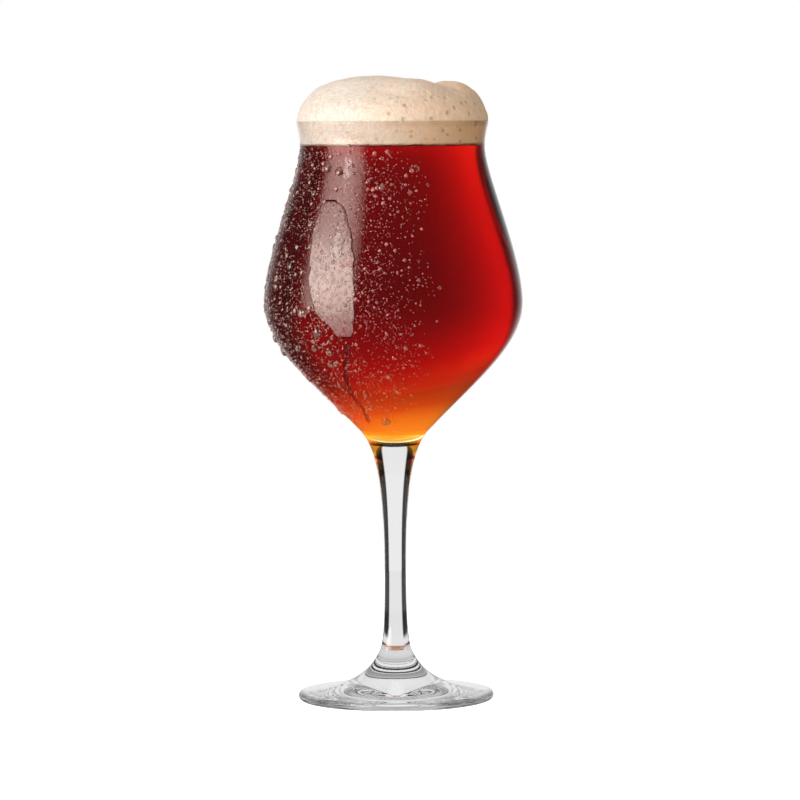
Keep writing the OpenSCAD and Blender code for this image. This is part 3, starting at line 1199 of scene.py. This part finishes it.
def seats_mesh(name, drops):
    """One point on the glass for each drop, with its direction and size as attributes."""
    seats, outs, sizes = [], [], []
    for middle, reach in drops:
        turn = math.atan2(middle[0], -middle[1]) / math.tau
        seats.append(off_bowl(turn, float(middle[2]), 0.0))
        outs.append(out_of_bowl(turn, float(middle[2])))
        sizes.append(reach)
    mesh = bpy.data.meshes.new(name)
    mesh.from_pydata([tuple(p) for p in seats], [], [])
    out = mesh.attributes.new("out", "FLOAT_VECTOR", "POINT")
    out.data.foreach_set("vector", [c for v in outs for c in v])
    set_values(mesh, "size", sizes)
    return mesh


# ---------------------------------------------------------------- operators


def turned_glass(name, node, facets, materials, is_seam, is_inside=None):
    """A smooth glass piece turned from a CAD node's outline.
    Its materials are for the outside, the faces of a seam and the faces of an inside."""
    mesh = turned_mesh(name, smooth_outline(ring_points(node), 3), facets)
    piece = add_piece(name, mesh, materials, [node])
    for face in piece.data.polygons:
        if is_seam(face.center, face.normal):
            face.material_index = 1
        elif is_inside is not None and is_inside(face.center, face.normal):
            face.material_index = 2
    return piece


class BEERGLASS_OT_foot(bpy.types.Operator):
    """Build the pressed foot, which stands on its rest ring"""

    bl_idname = "beerglass.foot"
    bl_label = "Foot"

    def execute(self, context):
        settings = context.scene.beer_glass
        turned_glass(
            "foot_glass",
            "foot",
            settings.facets,
            [glass_material("pressed_glass", settings), seam_material("foot_seam")],
            lambda centre, normal: normal.z > 0.99 and centre.z > FOOT_TOP - SAME_POINT,
        )
        return {"FINISHED"}


class BEERGLASS_OT_stem(bpy.types.Operator):
    """Build the drawn stem between the foot and the bowl"""

    bl_idname = "beerglass.stem"
    bl_label = "Stem"

    def execute(self, context):
        settings = context.scene.beer_glass
        turned_glass(
            "stem_glass",
            "stem",
            settings.facets,
            [
                glass_material("drawn_glass", settings),
                # Painted shade: the stem's seam is a dark disc in its middle for light from inside
                # the stem
                seam_material("stem_seam", painted_shade_share=0.95),
            ],
            lambda centre, normal: normal.z > 0.05 and centre.z > SEAM_LEVEL - SEAM_DISH
            or normal.z < -0.99 and centre.z < FOOT_TOP + SAME_POINT,
        )
        return {"FINISHED"}


class BEERGLASS_OT_bowl(bpy.types.Operator):
    """Build the thin bowl, misted on its wet side"""

    bl_idname = "beerglass.bowl"
    bl_label = "Bowl"

    def execute(self, context):
        settings = context.scene.beer_glass
        turned_glass(
            "bowl_glass",
            "bowl",
            settings.facets,
            [
                glass_material("blown_glass_outside", settings, misted=True),
                seam_material("bowl_seam"),
                glass_material("blown_glass_inside", settings, mirror=INNER_MIRROR),
            ],
            lambda centre, normal: normal.z < 0 and centre.z < SEAM_LEVEL
            and wall_radius(SEAM_LEVEL) > math.hypot(centre.x, centre.y),
            lambda centre, normal: centre.x * normal.x + centre.y * normal.y < 0,
        )
        return {"FINISHED"}


class BEERGLASS_OT_beer(bpy.types.Operator):
    """Pour the beer up to its surface"""

    bl_idname = "beerglass.beer"
    bl_label = "Beer"

    def execute(self, context):
        settings = context.scene.beer_fill
        line = [Vector(p) for p in smooth_outline(ring_points("beer"))]
        grown = []
        for i, point in enumerate(line):
            along = line[min(i + 1, len(line) - 1)] - line[max(i - 1, 0)]
            out = Vector((along.y, -along.x)).normalized() * settings.seat
            on_top = point.y > BEER_LEVEL - 0.01 * MM
            if on_top and point.x < 0.001 * MM:
                grown.append((0.0, point.y))
            elif on_top:
                grown.append((point.x + settings.seat, point.y))
            else:
                grown.append((max(point.x + out.x, 0.0), point.y + out.y))
        grown[0] = (0.0, line[0].y - settings.seat)
        mesh = turned_mesh("beer_fill", grown, context.scene.beer_glass.facets)
        add_piece("beer_fill", mesh, [beer_material("red_ale", settings)], ["beer"])
        return {"FINISHED"}


# Lobes of the foam: place of the middle to the right and backwards and radius, as shares of the
# foam's radius, and height as a share of the foam's height
FOAM_LOBES = (
    (0.0, 0.0, 1.0, 0.88),
    (-0.20, 0.00, 0.78, 1.00),
    (0.57, 0.03, 0.41, 0.87),
    (0.14, -0.32, 0.58, 0.93),
    (0.12, 0.36, 0.58, 0.90),
)
FOAM_FULLNESS = 2.3  # 2 makes the lobes round, and more makes their sides steeper
FOAM_CREASE = 0.35 * MM


def foam_height(x, y, reach, rise):
    """Height of the foam above the rim: the highest of its lobes, with soft creases between."""
    total = best = 0.0
    for lobe_x, lobe_y, radius, share in FOAM_LOBES:
        d = math.hypot(x - lobe_x * reach, y - lobe_y * reach) / (radius * reach)
        if d < 1.0:
            h = rise * share * (1.0 - d**FOAM_FULLNESS) ** (1.0 / FOAM_FULLNESS)
            total += math.exp(h / FOAM_CREASE)
            best = max(best, h)
    if total <= 1.0:
        return best
    return max(best, FOAM_CREASE * math.log(total)) - FOAM_CREASE * math.log(1.6)


class BEERGLASS_OT_foam(bpy.types.Operator):
    """Raise the foam: a collar inside the rim and a lobed dome above it"""

    bl_idname = "beerglass.foam"
    bl_label = "Foam"

    def execute(self, context):
        settings = context.scene.beer_foam
        around, dome_rings = 600, 116
        skirt = 0.42 * MM
        seat = 0.04 * MM
        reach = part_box("foam_head")[1].x
        rise = FOAM_LEVEL - RIM_LEVEL
        lip = [p for p in zip(INNER_WALL[1], INNER_WALL[0]) if p[1] > BEER_LEVEL + 0.2 * MM]
        points = []
        for i in range(around):
            a = math.tau * i / around
            x, y = math.cos(a), math.sin(a)
            ragged = noise(Vector((x * 9.0, y * 9.0, 1.0))) * 0.28
            ragged += noise(Vector((x * 26.0, y * 26.0, 4.0))) * 0.22
            floor = BEER_LEVEL - skirt - ragged * MM
            wall = float(np.interp(floor, INNER_WALL[0], INNER_WALL[1]))
            line = [(wall * share, floor) for share in (0.5, 0.8, 0.95)]
            line += [(wall + seat, floor)]
            line += [(r + seat, z) for r, z in lip[:: max(len(lip) // 14, 1)]]
            line += [(reach - 0.45 * MM, RIM_LEVEL + 0.02 * MM)]
            for j in range(dome_rings):
                t = j / dome_rings * math.pi / 2
                r = reach * math.cos(t) ** (2.0 / FOAM_FULLNESS)
                line.append((r, RIM_LEVEL + foam_height(x * r, y * r, reach, rise)))
            points += [(x * r, y * r, z) for r, z in line]
        count = len(line)
        low, high = len(points), len(points) + 1
        points.append((0.0, 0.0, BEER_LEVEL - skirt))
        points.append((0.0, 0.0, RIM_LEVEL + foam_height(0.0, 0.0, reach, rise)))
        faces = []
        for i in range(around):
            k = (i + 1) % around
            faces.append((low, k * count, i * count))
            for j in range(count - 1):
                faces.append((i * count + j, k * count + j, k * count + j + 1, i * count + j + 1))
            faces.append((high, i * count + count - 1, k * count + count - 1))
        mesh = solid_mesh("foam_dome", points, faces)
        normals = vectors_of(mesh.vertices, "normal")
        places = np.array(points)
        for i, place in enumerate(places):
            above = place[2] - RIM_LEVEL
            if above < 0.05 * MM:
                continue
            fade = min(above / (2.0 * MM), 1.0)
            spot = Vector(place)
            wave = noise(spot * 95.0 + Vector((3.0, 0.0, 0.0))) * 0.8 + noise(spot * 320.0) * 0.34
            wave += noise(spot * 1100.0) * 0.20
            places[i] = place + normals[i] * (wave - 0.25) * settings.swell * fade
        places[:, 2] = np.minimum(places[:, 2], FOAM_LEVEL)
        mesh.vertices.foreach_set("co", places.ravel())
        mesh.update()
        add_piece("foam_dome", mesh, [foam_material("fine_foam", settings)], ["foam_head"])
        return {"FINISHED"}


def grow_piece(name, host_mesh, tree, form, lit, values, nodes=()):
    """Grows a drop's form in water over a host mesh, and adds the result as one piece."""
    water = water_material(name + "_water", bpy.context.scene.beer_water, lit)
    mesh = grown_mesh(name, host_mesh, tree, {"Form": form, "Material": water, **values})
    bpy.data.objects.remove(form)
    add_piece(name, mesh, [water], nodes)


class BEERGLASS_OT_drops(bpy.types.Operator):
    """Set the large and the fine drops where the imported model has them"""

    bl_idname = "beerglass.drops"
    bl_label = "Drops"

    def execute(self, context):
        settings = context.scene.beer_water
        tree = placed_drops_tree()
        for node, name, sag in (
            ("large_drops", "hanging_drops", 0.55),
            ("fine_drops", "round_drops", 0.15),
        ):
            grow_piece(
                name,
                seats_mesh(name + "_seats", solids_of(node)),
                tree,
                drop_form(name + "_form", 20, 4, 0.58, sag),
                settings.lit * 0.5,
                {"Growth": 0.98},
                [node],
            )
        return {"FINISHED"}


def grid_faces(across, up):
    """Faces of a grid of points that lie row by row."""
    width = across + 1
    return [
        (a, a + 1, a + width + 1, a + width)
        for row in range(up)
        for a in range(row * width, row * width + across)
    ]


def held(value, least=0.0):
    """The value, held between a least one and 1."""
    return min(max(value, least), 1.0)


def wetness(turn, share):
    """How thickly beads lie at a share of a turn and of the bowl's height, from 0 to 1."""
    ebb = noise(Vector((turn * 26.0, share * 9.0, 2.0)))
    edge = 0.060 + 0.030 * noise(Vector((0.0, share * 7.0, 5.0)))
    near, far = held((edge - turn) / 0.07), held((turn + 0.49) / 0.10)
    low, high = held((share - 0.01) / 0.05), held((0.925 - share) / 0.02)
    return near * far * low * high * held(0.8 + ebb * 0.7, 0.15)


class BEERGLASS_OT_beads(bpy.types.Operator):
    """Strew fine beads of condensation over the wet side"""

    bl_idname = "beerglass.beads"
    bl_label = "Beads"

    def execute(self, context):
        settings = context.scene.beer_water
        tree = strewn_beads_tree()
        columns, rows = 160, 150
        # Smallest and largest radius, and the points round a bead and up it
        fine = (settings.bead_small, settings.bead_middle, 6, 1)
        large = (settings.bead_middle, settings.bead_large, 10, 2)
        for name, count, (smallest, largest, around, rings), first, last in (
            ("front_dew", settings.beads, fine, -0.25, 0.14),
            ("rear_dew", settings.beads * 0.7, fine, -0.49, -0.25),
            ("dew_drops", settings.bead_drops, large, -0.49, 0.10),
        ):
            points, wet = [], []
            for j in range(rows + 1):
                share = 0.005 + 0.985 * j / rows
                for i in range(columns + 1):
                    turn = first + (last - first) * i / columns
                    points.append(tuple(off_bowl(turn, bowl_level(share), 0.0)))
                    wet.append(wetness(turn, share))
            skin = bpy.data.meshes.new(name + "_skin")
            skin.from_pydata(points, [], grid_faces(columns, rows))
            set_values(skin, "wetness", wet)
            grow_piece(
                name,
                skin,
                tree,
                drop_form(name + "_form", around, rings, 0.60, 0.3),
                settings.lit,
                {
                    "Per Square Metre": count * 100.0,
                    "Spacing": smallest * 3.0,
                    "Smallest": smallest,
                    "Largest": largest,
                    "Seed": settings.bead_seed,
                },
            )
        return {"FINISHED"}


def film_edges():
    """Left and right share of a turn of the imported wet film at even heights."""
    x, y, z = vectors_of(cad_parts["water_film"].data.vertices, "co").T
    turns = np.arctan2(x, -y) / math.tau
    rows = []
    for level in np.linspace(z.min() + 0.3 * MM, z.max() - 0.3 * MM, 64):
        close = turns[np.abs(z - level) < 1.3 * MM]
        rows.append((float(level), float(close.min()), float(close.max())))
    return rows


class BEERGLASS_OT_film(bpy.types.Operator):
    """Lay the misty wet film on the front left"""

    bl_idname = "beerglass.film"
    bl_label = "Wet film"

    def execute(self, context):
        settings = context.scene.beer_water
        rows, across = film_edges(), 60
        upper, under, rise = [], [], []
        last = len(rows) - 1
        for j, (level, left, right) in enumerate(rows):
            end = min(j, last - j) / last
            rim = min(end / 0.05, 1.0)
            left += noise(Vector((1.0, level * 260.0, 0.0))) * 0.0035
            right += noise(Vector((7.0, level * 260.0, 0.0))) * 0.0035
            for i in range(across + 1):
                s = i / across
                turn = left + (right - left) * s
                side = min(s, 1.0 - s) * (right - left) * math.tau * BELLY_RADIUS
                swell = min(side / (1.1 * MM), 1.0)
                swell = math.sqrt(max(1.0 - (1.0 - swell) ** 2, 0.0)) * math.sqrt(rim * (2.0 - rim))
                ripple = 1.0 + 0.18 * noise(Vector((turn * 240.0, level * 700.0, 3.0)))
                height = 0.03 * MM + settings.film * swell * ripple
                upper.append(tuple(off_bowl(turn, level, height)))
                under.append(tuple(off_bowl(turn, level, -settings.seat)))
                rise.append(swell)
        width = across + 1
        total = len(upper)
        faces = []
        for a, b, c, d in grid_faces(across, last):
            faces.append((a, b, c, d))
            faces.append((total + a, total + d, total + c, total + b))
        border = list(range(across)) + [j * width + across for j in range(last)]
        border += [last * width + i for i in range(across, 0, -1)]
        border += [j * width for j in range(last, 0, -1)]
        for a, b in zip(border, border[1:] + border[:1]):
            faces.append((a, total + a, total + b, b))
        mesh = solid_mesh("wet_film", upper + under, faces, 55.0)
        set_values(mesh, "rise", rise + rise)
        water = film_material("misty_water", settings)
        add_piece("wet_film", mesh, [water], ["water_film"])
        return {"FINISHED"}


# Routes of the two water runs: share of a turn from the front and share of the bowl's height
LONG_RUN = (
    (-0.062, 0.307), (-0.066, 0.267), (-0.0765, 0.224), (-0.087, 0.179),
    (-0.094, 0.132), (-0.086, 0.083), (-0.095, 0.030),
)
HOOKED_RUN = (
    (-0.0855, 0.620), (-0.0830, 0.585), (-0.0760, 0.566), (-0.0695, 0.585), (-0.0710, 0.615),
)
RUN_ARC = 9  # Points over the round top of a run


def run_solid(route, width, height, seat, base):
    """Points and faces of one water run, round on top and flat under it, with tapered ends."""
    run = [Vector(p) for p in route]
    line = curve_through(run, 10) + [run[-1]]
    points, faces = [], []
    for i, (turn, share) in enumerate(line):
        t = i / (len(line) - 1)
        taper = min(t / 0.05, (1.0 - t) / 0.04, 1.0)
        taper = math.sqrt(max(taper * (2.0 - taper), 0.02))
        swell = taper * (1.0 + 0.28 * noise(Vector((t * 11.0, width * 900.0, 1.0))))
        here = off_bowl(turn, bowl_level(share), base)
        ahead = line[min(i + 1, len(line) - 1)] - line[max(i - 1, 0)]
        there = off_bowl(turn + ahead[0], bowl_level(share + ahead[1]), base)
        out = out_of_bowl(turn, bowl_level(share))
        across = (there - here).cross(out).normalized()
        for k in range(RUN_ARC):
            a = math.pi * k / (RUN_ARC - 1)
            aside = across * (math.cos(a) * width / 2 * swell)
            above = out * (math.sin(a) * height * swell - seat * (k in (0, RUN_ARC - 1)))
            points.append(tuple(here + aside + above))
    end = len(points) - RUN_ARC
    for near in range(0, end, RUN_ARC):
        far = near + RUN_ARC
        for k in range(RUN_ARC):
            m = (k + 1) % RUN_ARC
            faces.append((near + k, near + m, far + m, far + k))
    faces.append(tuple(range(RUN_ARC)))
    faces.append(tuple(range(end + RUN_ARC - 1, end - 1, -1)))
    return points, faces


class BEERGLASS_OT_runs(bpy.types.Operator):
    """Draw the two water runs"""

    bl_idname = "beerglass.runs"
    bl_label = "Water runs"

    def execute(self, context):
        settings = context.scene.beer_water
        points, faces = [], []
        for route, base, width in ((LONG_RUN, 0.0, 1.0), (HOOKED_RUN, settings.film, 0.65)):
            width *= settings.run
            more, sides = run_solid(route, width, width * 0.3, settings.seat + base, base)
            faces += [tuple(k + len(points) for k in face) for face in sides]
            points += more
        mesh = solid_mesh("water_trails", points, faces, 60.0)
        arc = [math.sin(math.pi * k / (RUN_ARC - 1)) for k in range(RUN_ARC)]
        set_values(mesh, "rise", arc * (len(points) // RUN_ARC))
        water = water_material("trail_water", settings, coat=0.1)
        add_piece("water_trails", mesh, [water], ["water_runs"])
        return {"FINISHED"}


# ---------------------------------------------------------------- stage


FLAG = grey(0.02)  # What the studio's black flags give back
LIGHTS_AIM = 0.15  # Height that the lamps face
DEEP = 3.5  # Light that has passed more surfaces than this went through the beer


def once_mirrored(sheet):
    """1 for light that left a clear glass piece after a mirroring inside it, and 0 for the rest."""
    depth = sheet.path("Transmission Depth")
    return sheet.path("Glossy Depth").more_than(0.5) * depth.more_than(0.5) * (
        1.0 - depth.more_than(2.5)
    )


def seen_through(sheet, z, behind, aside, quarter):
    """What clear glass shows of the studio: bright panels on four sides, with flags between them.
    Light from the beer sees other levels on its two sides."""
    panels = 1.0 - sheet.swing(quarter, 23.0, 28.0)
    through = sheet.blend(panels, grey(0.010), grey(0.87))
    through = sheet.blend(sheet.step(z, 0.62, 0.86), through, grey(0.60))
    through = sheet.blend(1.0 - sheet.step(z, -0.50, -0.30), through, grey(0.85))
    near_left = sheet.blend(sheet.swing(aside, 38.0, 46.0), grey(0.75), grey(0.36))
    beside = sheet.blend(behind.more_than(0.0), near_left, grey(0.18))
    beside = sheet.blend(sheet.swing(aside, 75.0, 95.0), beside, grey(0.3))
    deep = sheet.path("Transmission Depth").more_than(DEEP) * sheet.swing(aside, 24.0, 28.0)
    return sheet.blend(deep, through, beside)


def seen_mirrored(sheet, z, aside, quarter):
    """What glass mirrors of the studio: black, but for a panel behind and light from above."""
    panel = (1.0 - sheet.swing(aside, 8.0, 42.0)) * sheet.step(z, -0.34, -0.12)
    mirrored = sheet.blend(panel, FLAG, grey(0.85))
    mirrored = sheet.blend(sheet.step(z, 0.62, 0.86), mirrored, grey(0.80))
    once = sheet.blend(sheet.swing(quarter, 34.0, 40.0), grey(0.85), grey(0.10))
    return sheet.blend(once_mirrored(sheet), mirrored, once)


def world_light(scene):
    """White background to the eye, even light on the object, and a studio for glass to show."""
    world = bpy.data.worlds.new("studio")
    scene.world = world
    world.use_nodes = True
    sheet = Sheet(world.node_tree)
    x, y, z = sheet.split(sheet.add("ShaderNodeTexCoord", output="Generated"))
    behind = sheet.maths("ARCTAN2", x, y)
    aside = sheet.maths("ABSOLUTE", behind)
    quarter = sheet.maths("PINGPONG", behind, math.radians(45.0))
    through = seen_through(sheet, z, behind, aside, quarter)
    mirrored = seen_mirrored(sheet, z, aside, quarter)
    towards_key = x * -0.59 + y * -0.81
    on_foam = sheet.blend(sheet.step(towards_key, -0.1, 0.9), grey(0.75), grey(3.3))
    through = sheet.blend(sheet.path("Diffuse Depth").more_than(0.5), through, on_foam)
    turned = sheet.path("Glossy Depth").more_than(0.5)
    light = sheet.blend(turned, grey(scene.beer_stage.fill), mirrored)
    light = sheet.blend(sheet.path("Is Glossy Ray"), light, mirrored)
    light = sheet.blend(sheet.path("Is Transmission Ray") * (1.0 - turned), light, through)
    light = sheet.blend(sheet.path("Is Camera Ray"), light, WHITE)
    background = sheet.add("ShaderNodeBackground", inputs={"Color": light, "Strength": 1.0})
    sheet.finish("ShaderNodeOutputWorld", Surface=background)


def stage_object(name, points, faces, material, unseen_by):
    """Floor, panel or flag of the studio, with the kinds of light that don't see it."""
    mesh = bpy.data.meshes.new(name)
    mesh.from_pydata(points, [], faces)
    mesh.materials.append(material)
    thing = new_object(name, mesh)
    for kind in unseen_by:
        setattr(thing, "visible_" + kind, False)
    return thing


def circle(radius, height, around=96):
    turns = [math.tau * i / around for i in range(around)]
    return [(radius * math.cos(a), radius * math.sin(a), height) for a in turns]


def back_panel(radiance):
    """Soft-edged panel close behind the bowl, brightest on the left, which only beer shows."""
    material, sheet = new_material("back_panel_light")
    x, y, z = sheet.place()[1]
    left_out = x * -1.0
    low_down = 1.0 - sheet.step(z, 200 * MM, 265 * MM) * 0.75
    strip = low_down * (radiance * 0.78)
    strip = strip * (1.0 - sheet.step(left_out, 138 * MM, 172 * MM) * 0.70)
    middle = low_down * sheet.step(z, 120 * MM, 180 * MM) * 0.38 + 0.42
    middle = middle * (1.0 - sheet.step(x, 60 * MM, 140 * MM) * 0.75)
    glow = sheet.blend(sheet.step(left_out, 2 * MM, 128 * MM), middle, strip)
    clear = sheet.add("ShaderNodeBsdfTransparent")
    deep = sheet.path("Transmission Depth").more_than(DEEP)
    sheet.finish(Surface=sheet.either(deep, clear, sheet.glowing(glow)))
    left, right, low, high = -172 * MM, 150 * MM, 30 * MM, 340 * MM
    near, far = 210 * MM, 270 * MM
    stage_object(
        "back_panel",
        [(left, near, low), (right, far, low), (right, far, high), (left, near, high)],
        [(0, 1, 2, 3)],
        material,
        ("camera", "glossy", "diffuse", "shadow"),
    )


def belly_flag(height, hole, radius):
    """Dark ring under the bowl, so that the bowl's outside mirrors neither foot nor floor."""
    material, sheet = new_material("belly_flag_black")
    sheet.finish(Surface=sheet.glowing(FLAG))
    points = circle(hole, height) + circle(radius, height)
    around = len(points) // 2
    faces = [(i, (i + 1) % around, around + (i + 1) % around, around + i) for i in range(around)]
    unseen_by = ("camera", "transmission", "diffuse", "shadow")
    stage_object("belly_flag", points, faces, material, unseen_by)


def panel_light(name, azimuth, distance, level, width, height, radiance, soft=0.0):
    """Area light at an azimuth from the front, positive to the right, that faces the bowl."""
    light = bpy.data.lights.new(name, "AREA")
    light.shape = "RECTANGLE"
    light.size, light.size_y = width, height
    light.energy = radiance * math.pi * width * height
    light.use_nodes = True
    sheet = Sheet(light.node_tree)
    spot = sheet.add("ShaderNodeNewGeometry", output="Parametric")
    across = sheet.add("ShaderNodeSeparateXYZ", inputs={0: spot})
    falloff = sheet.step(across * (1.0 - across), 0.0, soft) if soft else 1.0
    sheet.finish("ShaderNodeOutputLight", Surface=sheet.glowing(WHITE, falloff))
    lamp = new_object(name, light)
    a = math.radians(azimuth)
    place = Vector((math.sin(a) * distance, -math.cos(a) * distance, level))
    facing = (place - Vector((0.0, 0.0, LIGHTS_AIM))).to_track_quat("Z", "Y")
    lamp.matrix_world = Matrix.Translation(place) @ facing.to_matrix().to_4x4()
    return lamp


def floor_material():
    """Pale floor: white to the eye, with shadow on it, and with its own levels for glass."""
    material, sheet = new_material("pale_floor")
    point, parts = sheet.place()
    tone = sheet.grain(point, 14.0) * 0.02 + 0.80
    matt = sheet.principled(
        {
            "Base Color": sheet.add("ShaderNodeCombineColor", inputs={0: tone, 1: tone, 2: tone}),
            "Roughness": 0.9,
            "Specular IOR Level": 0.0,
        }
    )
    lit = sheet.add("ShaderNodeAddShader", inputs={0: sheet.glowing(WHITE, 0.80), 1: matt})
    reach = sheet.reach(parts)
    quarter = sheet.maths("PINGPONG", sheet.maths("ARCTAN2", *parts[:2]), math.radians(45.0))
    flags = sheet.swing(quarter, 21.0, 27.0) * sheet.step(reach, 60 * MM, 90 * MM)
    through = sheet.blend(flags, grey(0.82), grey(0.03))
    aside = sheet.blend((parts[0] * -1.0).more_than(0.0), grey(0.18), grey(0.9))
    under_bowl = (0.50, 0.16, 0.02, 1.0)
    aside = sheet.blend(sheet.step(reach, 90 * MM, 160 * MM), under_bowl, aside)
    through = sheet.blend(sheet.path("Transmission Depth").more_than(DEEP), through, aside)
    lit = sheet.either(sheet.path("Is Transmission Ray"), lit, sheet.glowing(through))
    surface = sheet.either(sheet.path("Is Diffuse Ray"), lit, matt)
    unlit = sheet.step(reach, 8 * MM, 34 * MM) * (1.0 - sheet.step(reach, 90 * MM, 130 * MM))
    mirrored = sheet.blend(once_mirrored(sheet) * (1.0 - unlit), FLAG, grey(0.72))
    turned = sheet.path("Glossy Depth").more_than(0.5)
    sheet.finish(Surface=sheet.either(turned, surface, sheet.glowing(mirrored)))
    return material


class BEERGLASS_OT_stage(bpy.types.Operator):
    """Set the floor, the lights and the camera"""

    bl_idname = "beerglass.stage"
    bl_label = "Stage"

    def execute(self, context):
        scene = context.scene
        settings = scene.beer_stage
        scene.view_settings.view_transform = "Standard"
        scene.cycles.max_bounces = 32
        scene.cycles.transmission_bounces = 24
        scene.cycles.glossy_bounces = 24
        scene.cycles.transparent_max_bounces = 16
        rim = circle(settings.floor_radius, 0.0)
        faces = [tuple(range(len(rim)))]
        floor = stage_object("floor", rim, faces, floor_material(), ["glossy"])
        floor.location.z = -0.02 * MM
        world_light(scene)
        belly_flag(62 * MM, 9 * MM, 90 * MM)
        key = panel_light("key_light", -36.0, 0.70, 0.42, 0.70, 0.62, settings.key)
        key.visible_glossy = key.visible_transmission = False
        softbox = panel_light("softbox", -62.0, 0.70, 0.33, 0.80, 0.62, settings.softbox, 0.24)
        softbox.visible_diffuse = softbox.visible_transmission = False
        softbox.data.color = (1.0, 0.83, 0.74)
        glint = panel_light("glint", -57.0, 0.90, 0.55, 0.15, 0.15, settings.glint)
        glint.visible_diffuse = glint.visible_transmission = False
        back_panel(settings.back_strip)
        camera = bpy.data.cameras.new("photo_camera")
        camera.lens, camera.sensor_width = settings.lens, 36.0
        camera.clip_start, camera.clip_end = 0.01, 50.0
        eye = new_object("photo_camera", camera)
        eye.matrix_world = (
            Matrix.Translation((0.0, -settings.distance, settings.eye_level))
            @ Matrix.Rotation(-settings.yaw, 4, "Z")
            @ Matrix.Rotation(math.pi / 2 - settings.pitch, 4, "X")
            @ Matrix.Rotation(settings.roll, 4, "Z")
        )
        scene.camera = eye
        return {"FINISHED"}


class BEERGLASS_PT_panel(bpy.types.Panel):
    """Steps and settings of the dressed beer glass"""

    bl_idname = "BEERGLASS_PT_panel"
    bl_label = "Beer Glass"
    bl_space_type = "VIEW_3D"
    bl_region_type = "UI"
    bl_category = "Beer Glass"

    def draw(self, context):
        for operator in OPERATORS:
            self.layout.operator(operator.bl_idname)
        for name, group in GROUPS.items():
            box = self.layout.box()
            for label in group.__annotations__:
                box.prop(getattr(context.scene, name), label)


OPERATORS = (
    BEERGLASS_OT_foot,
    BEERGLASS_OT_stem,
    BEERGLASS_OT_bowl,
    BEERGLASS_OT_beer,
    BEERGLASS_OT_foam,
    BEERGLASS_OT_drops,
    BEERGLASS_OT_beads,
    BEERGLASS_OT_film,
    BEERGLASS_OT_runs,
    BEERGLASS_OT_stage,
)


def register():
    for group in GROUPS.values():
        bpy.utils.register_class(group)
    for operator in OPERATORS:
        bpy.utils.register_class(operator)
    bpy.utils.register_class(BEERGLASS_PT_panel)
    for name, group in GROUPS.items():
        setattr(bpy.types.Scene, name, bpy.props.PointerProperty(type=group))


def unregister():
    for name in GROUPS:
        delattr(bpy.types.Scene, name)
    bpy.utils.unregister_class(BEERGLASS_PT_panel)
    for operator in reversed(OPERATORS):
        bpy.utils.unregister_class(operator)
    for group in reversed(GROUPS.values()):
        bpy.utils.unregister_class(group)


def main():
    register()
    bpy.ops.beerglass.foot()
    bpy.ops.beerglass.stem()
    bpy.ops.beerglass.bowl()
    bpy.ops.beerglass.beer()
    bpy.ops.beerglass.foam()
    bpy.ops.beerglass.drops()
    bpy.ops.beerglass.beads()
    bpy.ops.beerglass.film()
    bpy.ops.beerglass.runs()
    bpy.ops.beerglass.stage()


if __name__ == "__main__":
    main()
